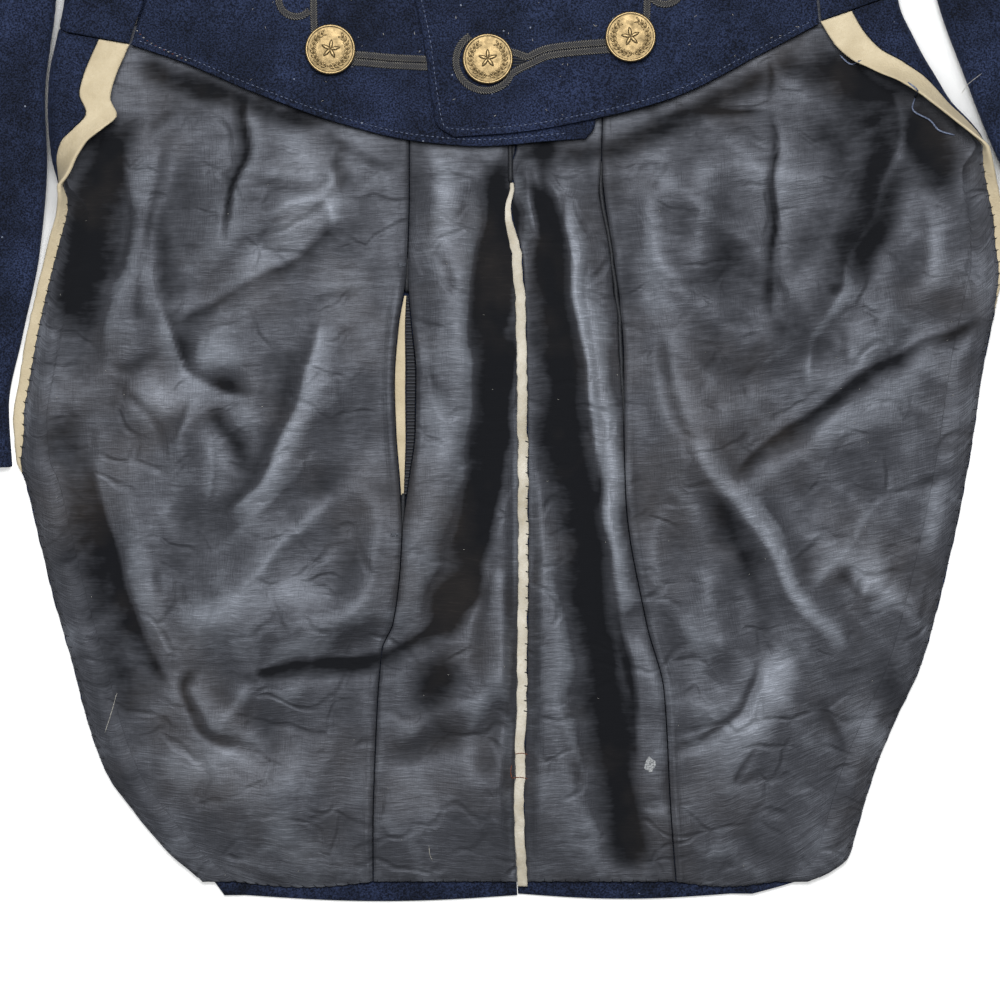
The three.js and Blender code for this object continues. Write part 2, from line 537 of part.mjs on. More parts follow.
// ---- collar: a standing band, flattened, its ends meeting at the centre front ----
function collarFace(depth) {
  const ring = (angle) => {
    const sharp = (value, power) => Math.sign(value) * Math.abs(value) ** power;
    return [sharp(Math.sin(angle), 0.8), sharp(Math.cos(angle), 0.55)];
  };
  return (v, u) => {
    const angle = lerp(0.008, 2 * Math.PI - 0.008, u);
    const half = neckHalf - 3 * v;
    const [sx, sz] = ring(angle);
    const x = centreX - (half - depth) * sx;
    const z = collarDepth / 2 + (collarDepth / 2 - depth) * sz;
    const front = blend(-0.25, 0.25, Math.cos(angle));
    const foot = lerp(backTopY(x) + seamGap, neckFrontY(x) + seamGap, front);
    return [x, foot + v * lerp(collarHeight + 1.5, collarHeight, front), z];
  };
}
addPiece("collar", sheet(3, 28, collarFace(0), collarFace(collarThick)), navy);

// ---- buttons and braid ----
const rowsOfButtons = Array.from({ length: buttonRows }, (_, i) => ({
  right: [-87.9 - 4.5 * i, -53.5 + rowPitch * i],
  middle: [-15.7 - 0.8 * i, -58 + rowPitch * i],
  left: [49.7 + 4.5 * i, -48 + rowPitch * i],
}));

// Height of a front's cloth under a point, as it was meshed.
function clothAt(front, x, y) {
  const ray = new THREE.Raycaster(new THREE.Vector3(x, y, 100), new THREE.Vector3(0, 0, -1));
  const [hit] = ray.intersectObject(front);
  return hit ? hit.point.z : 0;
}
const highest = (front, x, y, radius) => Math.max(...[0, 1, 2, 3, 4, 5, 6, 7, 8].map((i) => {
  const reach = i ? radius : 0;
  return clothAt(front, x + reach * Math.cos((i * Math.PI) / 4), y + reach * Math.sin((i * Math.PI) / 4));
}));

// A flat strand of braid that lies on a front along rows of x, y and width.
function strand(front, points) {
  const last = points.length - 1;
  const face = (lift) => (v, u, r) => {
    const [[x0, y0], [x1, y1]] = [points[Math.max(0, r - 1)], points[Math.min(last, r + 1)]];
    const length = Math.hypot(x1 - x0, y1 - y0);
    const [x, y, width] = points[r];
    const sideways = (u - 0.5) * width;
    const z = highest(front, x, y, 0.9 * width) + 1.3 * seamGap + lift;
    return [x - ((y1 - y0) / length) * sideways, y + ((x1 - x0) / length) * sideways, z];
  };
  return sheet(last, 1, face(braidThick), face(0));
}

const arc = (x, y, radius, from, to, count) => Array.from({ length: count + 1 }, (_, i) => {
  const angle = radians(lerp(from, to, i / count));
  return [x + radius * Math.cos(angle), y + radius * Math.sin(angle), braidWidth];
});

// The curl above an outer button and the riser that leads down from it. side is its way.
const curlRows = ([x, y], side) => [
  ...arc(x + side * 15.8, y + 23.7, curlRadius, 90 - side * 205, 90 + side * 90, 10),
  [x + side * 7.6, y + 12, braidWidth],
  [x + side * 6.5, y + 2, braidWidth],
];

function makeButton(name, front, [x, y], onBraid) {
  const profile = [[0, 0], [9, 0.2], [buttonRadius, 2.4], [10.4, 4.6], [0, 6.2]];
  const lathe = new THREE.LatheGeometry(profile.map(([r, z]) => new THREE.Vector2(r, z)), 14);
  lathe.rotateX(Math.PI / 2);
  const seat = highest(front, x, y, buttonRadius) + (onBraid ? braidThick + 2.5 * seamGap : 2 * seamGap);
  lathe.translate(x, y, seat);
  const turned = facingOut([...lathe.getAttribute("position").array], [...lathe.index.array]);
  addPiece(name, turned, gilt);
}

// Inner edge of the left front, which covers the ends of the right front's braid.
const lapEdge = table(["y", "x"], ...Array.from({ length: 12 }, (_, i) => {
  const { ix, iy } = leftFrontRibs(i);
  return [iy, ix];
}));

rowsOfButtons.forEach(({ right, middle, left }, i) => {
  const number = i + 1;
  const bar = 2 * braidWidth;
  const end = lapEdge(right[1] - 6).x - 0.9;
  addPiece(`braid_right_${number}`, strand(rightFront, [
    ...curlRows(right, -1),
    [right[0] - 3, right[1] - 3, bar],
    [right[0] + 14, right[1] - 4, bar],
    [lerp(right[0], end, 0.6), right[1] - 5.3, bar],
    [end, right[1] - 6.2, bar],
  ]), cord);
  addPiece(`braid_left_${number}`, strand(leftFront, [
    ...curlRows(left, 1),
    [left[0] + 3, left[1] - 3, bar],
    [left[0] - 12, left[1] - 4, bar],
    [middle[0] + 29, middle[1] + 3.5, bar],
    [middle[0] + 19, middle[1] - 0.5, bar],
    ...arc(middle[0] - 1, middle[1] - 0.8, loopRadius, -24, -238, 9),
  ]), cord);
  makeButton(`button_right_${number}`, rightFront, right, true);
  makeButton(`button_middle_${number}`, leftFront, middle, false);
  makeButton(`button_left_${number}`, leftFront, left, true);
});

export default coat;
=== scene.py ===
# Military tailcoat of about 1880, laid face up with its tails spread open.
# Working units are millimetres; every mesh is turned to metres when it is made.
# Left and right are the wearer's, so the right side of the coat lies towards -X.
import json
import math
from functools import partial
from types import SimpleNamespace

import bpy
import mathutils
import numpy as np
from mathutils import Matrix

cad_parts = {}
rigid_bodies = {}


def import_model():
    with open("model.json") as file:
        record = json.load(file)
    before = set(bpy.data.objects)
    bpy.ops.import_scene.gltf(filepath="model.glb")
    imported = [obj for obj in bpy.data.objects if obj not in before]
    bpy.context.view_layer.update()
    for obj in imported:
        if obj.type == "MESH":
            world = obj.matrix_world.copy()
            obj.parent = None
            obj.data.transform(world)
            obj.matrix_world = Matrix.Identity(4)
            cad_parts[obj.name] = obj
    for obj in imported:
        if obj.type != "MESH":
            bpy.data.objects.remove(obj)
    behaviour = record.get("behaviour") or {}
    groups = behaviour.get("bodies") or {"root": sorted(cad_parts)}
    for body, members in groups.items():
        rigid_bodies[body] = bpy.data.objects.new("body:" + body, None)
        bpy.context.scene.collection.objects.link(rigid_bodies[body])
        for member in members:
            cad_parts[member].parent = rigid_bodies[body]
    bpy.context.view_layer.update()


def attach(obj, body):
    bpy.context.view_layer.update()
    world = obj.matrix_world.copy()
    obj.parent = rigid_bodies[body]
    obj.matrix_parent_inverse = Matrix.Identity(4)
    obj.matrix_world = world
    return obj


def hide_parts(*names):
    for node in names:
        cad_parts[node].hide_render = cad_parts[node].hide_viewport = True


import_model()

coat = {
    "woolThick": 2.0,  # broadcloth of the tails
    "bodyThick": 2.1,  # broadcloth with its interlining
    "backThick": 2.2,  # backs and under sleeves
    "lapThick": 2.4,  # the front's overlap, and the collar
    "seamGap": 0.3,
    "clothRoll": 4.3,  # fold radius where cloth turns over at a side
    "stripWidth": 4.6,
    "hemY": -442.0,
    "hemReveal": 6.0,  # wool that shows below the lining
    "ventTop": -114.0,
    "centreX": -22.0,
    "neckHalf": 76.0,
    "chestHalf": 225.0,
    "backSeamIn": 34.0,
}
seamGap = coat["seamGap"]
woolThick = coat["woolThick"]


# Small tools.
def clamp01(value):
    return np.clip(value, 0.0, 1.0)


def ease(value):
    value = clamp01(value)
    return value * value * (3 - 2 * value)


def ramp(start, end, at):
    return ease((at - start) / (end - start))


def lerp(a, b, share):
    return a + (b - a) * share


def table(columns, *rows):  # a smooth curve through rows that never overshoots them
    names = columns.split()
    data = np.array(sorted(rows), dtype=float)
    key, values = data[:, 0], data[:, 1:]
    slope = np.diff(values, axis=0) / np.diff(key)[:, None]
    a, b = slope[:-1], slope[1:]
    same = a * b > 0
    middle = np.where(same, 2 * a * b / np.where(same, a + b, 1), 0)
    tangent = np.vstack([slope[:1], middle, slope[-1:]])

    def read(where):
        x = np.clip(np.asarray(where, dtype=float), key[0], key[-1])
        k = np.clip(np.searchsorted(key, x, side="left") - 1, 0, len(key) - 2)
        step = key[k + 1] - key[k]
        t = (x - key[k]) / step
        h = t * t * (3 - 2 * t)
        found = {}
        for i, name in enumerate(names[1:]):
            found[name] = (values[k, i] * (1 - h) + values[k + 1, i] * h
                           + step * (tangent[k, i] * t * (1 - t) ** 2
                                     - tangent[k + 1, i] * t * t * (1 - t)))
        return SimpleNamespace(**found)

    return read


def softNoise(x, y, size, seed):  # smooth seeded noise from -1 to 1, with lumps of this size
    lattice = np.random.default_rng(seed).uniform(-1, 1, (128, 128))
    u, v = np.asarray(x) / size + 57.3, np.asarray(y) / size + 31.7
    i, j = np.floor(u).astype(int), np.floor(v).astype(int)
    fu, fv = ease(u - i), ease(v - j)
    at = lambda di, dj: lattice[(i + di) % 128, (j + dj) % 128]
    return lerp(lerp(at(0, 0), at(1, 0), fu), lerp(at(0, 1), at(1, 1), fu), fv)


def smoothPath(points, step):  # a curve through given points, cut to equal steps
    p = np.array(points, dtype=float)
    if len(p) > 2:
        ends = np.vstack([2 * p[0] - p[1], p, 2 * p[-1] - p[-2]])
        fine = []
        for a, b, c, d in zip(ends, ends[1:], ends[2:], ends[3:]):
            t = np.linspace(0, 1, 12, endpoint=False)[:, None]
            fine.append(0.5 * (2 * b + (c - a) * t + (2 * a - 5 * b + 4 * c - d) * t ** 2
                               + (3 * b - a - 3 * c + d) * t ** 3))
        p = np.vstack([*fine, p[-1:]])
    length = np.concatenate([[0], np.cumsum(np.linalg.norm(np.diff(p, axis=0), axis=1))])
    count = max(2, int(round(length[-1] / step)) + 1)
    stops = np.linspace(0, length[-1], count)
    return np.stack([np.interp(stops, length, p[:, i]) for i in range(p.shape[1])], axis=1)


def point(x, y, z):
    return np.stack(np.broadcast_arrays(x, y, z), axis=-1).astype(float)


def directions(path):  # unit steps along a path
    along = np.gradient(path, axis=0)
    return along / np.maximum(np.linalg.norm(along, axis=1, keepdims=True), 1e-9)


def makePiece(name, points, faces, uvs, finish, relief=None):
    mesh = bpy.data.meshes.new(name)
    faces = faces.tolist() if hasattr(faces, "tolist") else faces
    mesh.from_pydata((np.asarray(points) * 0.001).tolist(), [], faces)
    loops = np.empty(len(mesh.loops), dtype=np.int32)
    mesh.loops.foreach_get("vertex_index", loops)
    layer = mesh.uv_layers.new(name="cloth")
    layer.data.foreach_set("uv", (np.asarray(uvs)[loops] * 0.001).ravel())
    if relief is not None:
        marks = mesh.attributes.new("relief", "FLOAT", "POINT")
        marks.data.foreach_set("value", np.asarray(relief, dtype=np.float32))
    mesh.polygons.foreach_set("use_smooth", np.ones(len(mesh.polygons), dtype=bool))
    mesh.materials.append(finish)
    mesh.update()
    piece = bpy.data.objects.new(name, mesh)
    bpy.context.scene.collection.objects.link(piece)
    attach(piece, "root")
    return piece


def gridFaces(rows, columns, start=0):
    r, c = np.meshgrid(np.arange(rows - 1), np.arange(columns - 1), indexing="ij")
    a = (start + r * columns + c).ravel()
    return np.stack([a, a + 1, a + columns + 1, a + columns], axis=1)


def ringFaces(rings, sides, capped=True):  # faces of a tube made of closed rings
    r, c = np.meshgrid(np.arange(rings - 1), np.arange(sides), indexing="ij")
    a, b = r * sides + c, r * sides + (c + 1) % sides
    faces = np.stack([a, b, b + sides, a + sides], axis=-1).reshape(-1, 4).tolist()
    if capped:
        faces += [list(range(sides))[::-1], list(range((rings - 1) * sides, rings * sides))]
    return faces


def joined(parts):  # parts of points, faces and one value a point, as one mesh
    faces, start = [], 0
    for p, f, _ in parts:
        faces += [[i + start for i in face] for face in f]
        start += len(p)
    return np.vstack([p for p, _, _ in parts]), faces, np.concatenate([v for _, _, v in parts])


def outward(points, faces):  # turns the faces so that the closed mesh's normals look out
    a, b, c, d = (points[faces[:, i]] for i in range(4))
    volume = np.einsum("ij,ij->i", a, np.cross(b, c)).sum() + np.einsum("ij,ij->i", a, np.cross(c, d)).sum()
    return faces if volume > 0 else faces[:, ::-1]


def closeCloth(over, under, pull, lips):  # two faces of a cloth joined by a rounded edge
    rows, columns = over.shape[:2]
    r = np.concatenate([np.zeros(columns - 1), np.arange(rows - 1), np.full(columns - 1, rows - 1),
                        np.arange(rows - 1, 0, -1)]).astype(int)
    c = np.concatenate([np.arange(columns - 1), np.full(rows - 1, columns - 1),
                        np.arange(columns - 1, 0, -1), np.zeros(rows - 1)]).astype(int)
    inR, inC = np.clip(r, 1, rows - 2), np.clip(c, 1, columns - 2)
    middle = (over[r, c] + under[r, c]) / 2
    half = (over[r, c] - under[r, c]) / 2
    way = middle - (over[inR, inC] + under[inR, inC]) / 2
    length = np.linalg.norm(way, axis=1, keepdims=True)
    reach = np.minimum(pull, 0.45 * length)
    way = way / np.maximum(length, 1e-9) * reach
    over, under = over.copy(), under.copy()
    over[r, c] = middle + half - way
    under[r, c] = middle - half - way
    rings = []
    for k in range(1, lips + 1):
        angle = math.pi * k / (lips + 1)
        rings.append(middle + half * math.cos(angle) + way * (math.sin(angle) - 1))
    border = len(r)
    points = np.vstack([over.reshape(-1, 3), *rings, under.reshape(-1, 3)])
    cells = rows * columns
    loops = [r * columns + c]
    loops += [cells + k * border + np.arange(border) for k in range(lips)]
    loops += [cells + lips * border + r * columns + c]
    faces = [gridFaces(rows, columns), gridFaces(rows, columns, cells + lips * border)[:, ::-1]]
    for a, b in zip(loops, loops[1:]):
        faces.append(np.stack([a, b, np.roll(b, -1), np.roll(a, -1)], axis=1))
    lengths = []
    for axis in (1, 0):  # across and down the cloth
        steps = np.linalg.norm(np.diff(over, axis=axis), axis=2)
        start = np.zeros_like(np.take(steps, [0], axis))
        lengths.append(np.concatenate([start, np.cumsum(steps, axis=axis)], axis=axis))
    grid = np.stack(lengths, axis=-1)
    rim = grid[r, c]
    uvs = np.vstack([grid.reshape(-1, 2), *([rim] * lips), grid.reshape(-1, 2)])
    faces = np.vstack(faces)
    return points, outward(points, faces), uvs


def clothPiece(name, node, over, under, finish, pull=0.9, lips=3):
    points, faces, uvs = closeCloth(over, under, pull, lips)
    # on the lining, painted highlights and painted shade are stored at each point
    paintedLight = gridAt(paintedLightGrid, points[:, 0], points[:, 1]) if finish is cotton else None
    piece = makePiece(name, points, faces, uvs, finish, paintedLight)
    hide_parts(node)
    return piece


def tube(path, radius, sides=6):  # a thread along a path of points, tapered at its ends
    p = np.asarray(path, dtype=float)
    along = directions(p)
    up = np.tile([0.0, 0.0, 1.0], (len(p), 1))
    steep = np.abs(along[:, 2]) > 0.95
    up[steep] = [0, 1, 0]
    side = np.cross(along, up)
    side /= np.linalg.norm(side, axis=1, keepdims=True)
    top = np.cross(side, along)
    size = np.full(len(p), radius)
    size[[0, -1]] *= 0.35
    angle = np.linspace(0, 2 * np.pi, sides, endpoint=False)
    ring = side[:, None] * np.cos(angle)[None, :, None] + top[:, None] * np.sin(angle)[None, :, None]
    points = (p[:, None] + ring * size[:, None, None]).reshape(-1, 3)
    return points, ringFaces(len(p), sides), points[:, :2]


# Finishes.
def shade(code):  # an sRGB hex value as linear colour
    parts = [int(code[i:i + 2], 16) / 255 for i in (1, 3, 5)]
    return tuple(c / 12.92 if c <= 0.04045 else ((c + 0.055) / 1.055) ** 2.4 for c in parts) + (1.0,)


def level(value):
    return (value, value, value, 1.0)


def addNode(tree, kind, sockets=None, ramp=(), out=0, **settings):  # a node, its settings, and what feeds it
    node = tree.nodes.new("ShaderNode" + kind)
    for key, value in settings.items():
        setattr(node, key, value)
    for key, value in (sockets or {}).items():
        if isinstance(value, bpy.types.NodeSocket):
            tree.links.new(value, node.inputs[key])
        else:
            node.inputs[key].default_value = value
    for i, (place, colour) in enumerate(ramp):
        if i > 1:
            node.color_ramp.elements.new(place)
        node.color_ramp.elements[i].position, node.color_ramp.elements[i].color = place, colour
    return node.outputs[out]


def newFinish(name, **sockets):  # a material, its node adder and its surface shader
    finish = bpy.data.materials.new(name)
    finish.use_nodes = True
    tree = finish.node_tree
    surface = tree.nodes["Principled BSDF"]
    for key, value in sockets.items():
        surface.inputs[key.replace("_", " ")].default_value = value
    feed = lambda socket, source: tree.links.new(source, surface.inputs[socket])
    return finish, partial(addNode, tree), feed


def makeBroadcloth():  # milled wool: a felted nap hides the weave, so it is dull with a soft bloom
    finish, add, feed = newFinish("navyBroadcloth", Roughness=0.92, Specular_IOR_Level=0.2, Sheen_Weight=0.22,
                                  Sheen_Roughness=0.45, Sheen_Tint=shade("#58658A"))
    place = add("TexCoord", out=3)
    cloudy = add("TexNoise", {"Vector": place, "Scale": 38.0, "Detail": 3.0, "Roughness": 0.65})
    # real fibres are too fine to show, so the nap is drawn as tufts 0.8 mm long
    nap = add("TexNoise", {"Vector": place, "Scale": 1250.0, "Detail": 1.5, "Roughness": 0.8})
    fluff = add("TexNoise", {"Vector": place, "Scale": 250.0, "Detail": 3.0, "Roughness": 0.7})
    base = add("ValToRGB", {"Fac": cloudy}, ramp=[(0.3, shade("#03050B")), (0.72, shade("#0C1222"))])
    share = add("ValToRGB", {"Fac": nap}, ramp=[(0.4, level(0)), (0.64, level(0.85))])
    # the nap lies in clouds
    pile = add("ValToRGB", {"Fac": cloudy}, ramp=[(0.34, shade("#1C2438")), (0.66, shade("#313C5A"))])
    base = add("MixRGB", {"Fac": share, "Color1": base, "Color2": pile})
    share = add("ValToRGB", {"Fac": fluff}, ramp=[(0.55, level(0)), (0.8, level(0.35))])
    base = add("MixRGB", {"Fac": share, "Color1": base, "Color2": shade("#2C3750")})
    speck = add("TexVoronoi", {"Vector": place, "Scale": 170.0})  # lint, about one speck in 6 mm
    rare = add("TexNoise", {"Vector": place, "Scale": 110.0, "Detail": 2.0})
    lint = add("Math", {0: add("Math", {0: speck, 1: 0.07}, operation="LESS_THAN"),
                        1: add("Math", {0: rare, 1: 0.57}, operation="GREATER_THAN")}, operation="MULTIPLY")
    lint = add("Math", {0: lint, 1: 0.55}, operation="MULTIPLY")
    feed("Base Color", add("MixRGB", {"Fac": lint, "Color1": base, "Color2": shade("#9FA6B4")}))
    height = add("Math", {0: nap, 1: 0.5, 2: fluff}, operation="MULTIPLY_ADD")
    feed("Normal", add("Bump", {"Strength": 0.55, "Distance": 0.0012, "Height": height}))
    return finish


def makeLiningCotton():  # calendered plain cotton: a slick face with slubs and cloudy tone, with painted highlights on the fold crests and painted shade in the hollows
    finish, add, feed = newFinish("blackPolishedCotton", Specular_IOR_Level=0.5,
                                  Specular_Tint=shade("#E9EEFB"), Sheen_Weight=0.04,
                                  Sheen_Roughness=0.4, Sheen_Tint=shade("#9AA0A8"))
    cloth, place = add("UVMap"), add("TexCoord", out=3)
    # painted highlights and painted shade, read from the mesh
    paintedLight = add("Attribute", out=2, attribute_name="relief")
    alongWeft = add("Mapping", {"Vector": cloth, "Scale": (0.09, 1.0, 1.0)})
    alongWarp = add("Mapping", {"Vector": cloth, "Scale": (1.0, 0.09, 1.0)})
    # real threads lie 0.3 mm apart: these are drawn 0.8 mm apart, to show
    weft = add("TexNoise", {"Vector": alongWeft, "Scale": 1300.0, "Detail": 2.0, "Roughness": 0.7},
               noise_dimensions="2D")
    warp = add("TexNoise", {"Vector": alongWarp, "Scale": 1300.0, "Detail": 2.0, "Roughness": 0.7},
               noise_dimensions="2D")
    slubWay = add("Mapping", {"Vector": cloth, "Scale": (0.13, 1.0, 1.0)})
    # slubs 2.4 mm apart
    slub = add("TexNoise", {"Vector": slubWay, "Scale": 420.0, "Detail": 3.0, "Roughness": 0.75},
               noise_dimensions="2D")
    cloudy = add("TexNoise", {"Vector": place, "Scale": 30.0, "Detail": 4.0, "Roughness": 0.65},
                 noise_dimensions="2D")
    worn = add("TexNoise", {"Vector": place, "Scale": 11.0, "Detail": 4.0, "Roughness": 0.6},
               noise_dimensions="2D")
    toneAndPaintedLight = add("Math", {0: cloudy, 1: 0.5}, operation="MULTIPLY")
    toneAndPaintedLight = add("Math", {0: paintedLight, 1: 0.5, 2: toneAndPaintedLight}, operation="MULTIPLY_ADD")
    toneAndPaintedLight = add("Math", {0: slub, 1: 0.22, 2: toneAndPaintedLight}, operation="MULTIPLY_ADD")  # about 0.36 where nothing is painted
    # painted shade and highlight: near black where shade is painted, pale grey where highlights are painted
    base = add("ValToRGB", {"Fac": toneAndPaintedLight},
               ramp=[(0.0, shade("#030304")), (0.36, shade("#313236")), (0.8, shade("#74787F"))])
    share = add("ValToRGB", {"Fac": worn}, ramp=[(0.48, level(0)), (0.75, level(0.5))])
    base = add("MixRGB", {"Fac": share, "Color1": base, "Color2": shade("#322C26")})
    share = add("ValToRGB", {"Fac": weft}, ramp=[(0.52, level(0)), (0.75, level(0.65))])
    feed("Base Color", add("MixRGB", {"Fac": share, "Color1": base, "Color2": base}, blend_type="ADD"))
    feed("Roughness", add("ValToRGB", {"Fac": toneAndPaintedLight},
                          ramp=[(0.02, level(1.0)), (0.36, level(0.54)), (0.8, level(0.4))]))
    weave = add("Math", {0: weft, 1: warp}, operation="ADD")
    height = add("Math", {0: weave, 1: 0.5, 2: slub}, operation="MULTIPLY_ADD")
    woven = add("Bump", {"Strength": 0.6, "Distance": 0.0004, "Height": height})
    push = add("TexNoise", {"Vector": place, "Scale": 26.0, "Detail": 2.0}, out=1, noise_dimensions="2D")
    push = add("VectorMath", {0: push, 1: (0.03, 0.03, 0.0)}, operation="MULTIPLY")
    pushed = add("VectorMath", {0: place, 1: push}, operation="ADD")
    creased = add("Mapping", {"Vector": pushed, "Rotation": (0.0, 0.0, 0.7), "Scale": (0.6, 1.0, 1.0)})
    plates = add("TexVoronoi", {"Vector": creased, "Scale": 58.0}, feature="DISTANCE_TO_EDGE",
                 voronoi_dimensions="2D")  # creases some 17 mm apart
    line = add("MapRange", {0: plates, 1: 0.0, 2: 0.16, 3: 0.0, 4: 1.0}, interpolation_type="SMOOTHERSTEP")
    kept = add("TexNoise", {"Vector": place, "Scale": 40.0, "Detail": 1.0}, noise_dimensions="2D")
    kept = add("ValToRGB", {"Fac": kept}, ramp=[(0.46, level(0)), (0.62, level(1))])
    creases = add("MixRGB", {"Fac": kept, "Color1": level(1), "Color2": line})
    feed("Normal", add("Bump", {"Strength": 0.4, "Distance": 0.0012, "Height": creases, "Normal": woven}))
    return finish


def makeCreamWool(name, soiled, clean):  # undyed broadcloth: matt, faintly felted, soiled in clouds
    finish, add, feed = newFinish(name, Roughness=0.9, Specular_IOR_Level=0.25, Sheen_Weight=0.15,
                                  Sheen_Roughness=0.5, Sheen_Tint=shade("#FFF4DC"))
    place = add("TexCoord", out=3)
    cloudy = add("TexNoise", {"Vector": place, "Scale": 55.0, "Detail": 5.0, "Roughness": 0.6})
    nap = add("TexNoise", {"Vector": place, "Scale": 850.0, "Detail": 3.0, "Roughness": 0.7})
    base = add("ValToRGB", {"Fac": cloudy}, ramp=[(0.3, shade(soiled)), (0.7, shade(clean))])
    share = add("ValToRGB", {"Fac": nap}, ramp=[(0.45, level(0)), (0.75, level(0.4))])
    feed("Base Color", add("MixRGB", {"Fac": share, "Color1": base, "Color2": shade("#B7A684")}))
    feed("Normal", add("Bump", {"Strength": 0.5, "Distance": 0.0008, "Height": nap}))
    return finish


def makeFacingTwill():  # black twill with cords 1.6 mm apart across the pocket's mouth
    finish, add, feed = newFinish("blackTwill", Roughness=0.6, Specular_IOR_Level=0.4)
    split = add("SeparateXYZ", {0: add("TexCoord", out=3)}, out=1)
    cords = add("Math", {0: split, 1: 2 * math.pi / 0.0016}, operation="MULTIPLY")
    cords = add("Math", {0: cords}, operation="SINE")
    base = add("ValToRGB", {"Fac": cords}, ramp=[(0.2, shade("#131418")), (0.9, shade("#33353B"))])
    feed("Base Color", base)
    feed("Normal", add("Bump", {"Strength": 0.6, "Distance": 0.0005, "Height": cords}))
    return finish


def makeBraid():  # flat mohair braid, plaited over two cores: slightly lustrous, greyed with age
    finish, add, feed = newFinish("mohairBraid", Roughness=0.55, Specular_IOR_Level=0.45, Sheen_Weight=0.1,
                                  Sheen_Roughness=0.4, Sheen_Tint=shade("#9C9A90"))
    cloth = add("UVMap")
    across = add("Math", {0: add("SeparateXYZ", {0: cloth}, out=0)}, operation="ABSOLUTE")
    slant = add("Math", {0: add("SeparateXYZ", {0: cloth}, out=1), 1: across}, operation="ADD")
    plaits = add("Math", {0: slant, 1: 2 * math.pi / 0.0011}, operation="MULTIPLY")  # 1.1 mm apart
    plaits = add("Math", {0: plaits}, operation="SINE")
    worn = add("TexNoise", {"Vector": add("TexCoord", out=3), "Scale": 250.0, "Detail": 4.0})
    base = add("ValToRGB", {"Fac": plaits}, ramp=[(0.35, shade("#101013")), (0.9, shade("#9A958A"))])
    # painted shade: the groove down the middle of each strand, between its two cores, is darker than the
    # edges
    middle = add("MapRange", {0: across, 1: 0.0006, 2: 0.0013, 3: 0.75, 4: 0.1})
    base = add("MixRGB", {"Fac": middle, "Color1": base, "Color2": shade("#17171B")})
    share = add("ValToRGB", {"Fac": worn}, ramp=[(0.45, level(0)), (0.7, level(0.5))])
    feed("Base Color", add("MixRGB", {"Fac": share, "Color1": base, "Color2": shade("#23242C")}))
    feed("Normal", add("Bump", {"Strength": 0.5, "Distance": 0.0003, "Height": plaits}))
    return finish


def makeGilt():  # fire-gilt brass, die struck: bright where raised, brown grime where sunk
    finish, add, feed = newFinish("giltBrass", Metallic=1.0)
    place = add("TexCoord", out=3)
    relief = add("Attribute", out=2, attribute_name="relief")
    blotch = add("TexNoise", {"Vector": place, "Scale": 290.0, "Detail": 5.0, "Roughness": 0.65})
    fine = add("TexNoise", {"Vector": place, "Scale": 1700.0, "Detail": 3.0, "Roughness": 0.6})
    uneven = add("Math", {0: blotch, 1: 0.5}, operation="SUBTRACT")
    raised = add("Math", {0: uneven, 1: 0.9, 2: relief}, operation="MULTIPLY_ADD")
    base = add("ValToRGB", {"Fac": raised}, ramp=[(0.1, shade("#2F2617")), (0.6, shade("#97835F"))])
    share = add("ValToRGB", {"Fac": blotch}, ramp=[(0.6, level(0)), (0.8, level(0.5))])
    feed("Base Color", add("MixRGB", {"Fac": share, "Color1": base, "Color2": shade("#8C7A5C")}))
    feed("Roughness", add("ValToRGB", {"Fac": raised}, ramp=[(0.1, level(0.65)), (0.8, level(0.46))]))
    pitted = add("Math", {0: fine, 1: blotch}, operation="ADD")
    feed("Normal", add("Bump", {"Strength": 0.3, "Distance": 0.0003, "Height": pitted}))
    return finish


def makeThread(name, colour, highlight):  # twisted cotton: dull, with paler fibres standing off it
    finish, add, feed = newFinish(name, Roughness=0.65, Specular_IOR_Level=0.35)
    twist = add("TexNoise", {"Vector": add("TexCoord", out=3), "Scale": 1600.0, "Detail": 2.0})
    feed("Base Color", add("ValToRGB", {"Fac": twist}, ramp=[(0.35, shade(colour)), (0.7, shade(highlight))]))
    return finish


broadcloth = makeBroadcloth()
cotton = makeLiningCotton()
creamWool = makeCreamWool("creamBroadcloth", "#B5A688", "#D0C2A4")
ventWool = makeCreamWool("wornCreamBroadcloth", "#A39A86", "#D8D2C4")  # rubbed paler along the vent
twill = makeFacingTwill()
mohair = makeBraid()
gilt = makeGilt()
blackThread = makeThread("blackCottonThread", "#0C0D10", "#2A2C31")
paleThread = makeThread("greyCottonThread", "#4C566D", "#8790A6")
tackThread = makeThread("tackingThread", "#33363B", "#666A72")
bastingThread = makeThread("bastingThread", "#8E8A83", "#D8D4C8")
rustThread = makeThread("rustThread", "#5B2F1C", "#8E5234")
print("finishes made")


# The coat's outline.
def waistY(x):  # the waist seam across the back, where the tails hang from the body
    return -33 + 0.049 * (x + 8)


ventLine = table("y x", (-33, -8), (-114, -5.6), (-127, -7.8), (-152, -4.3), (-182, -2.8),
                 (-278, -1.8), (-338, -2.3), (-403, -3.7), (-445, -1.8))


def neckFrontY(x):
    return 324.7 + 60.3 * np.minimum(1, np.abs(x - coat["centreX"]) / coat["neckHalf"]) ** 2.2


def backTopY(x):
    return 397 - 0.33 * (np.hypot(np.abs(x - coat["centreX"]), 40) - 40)


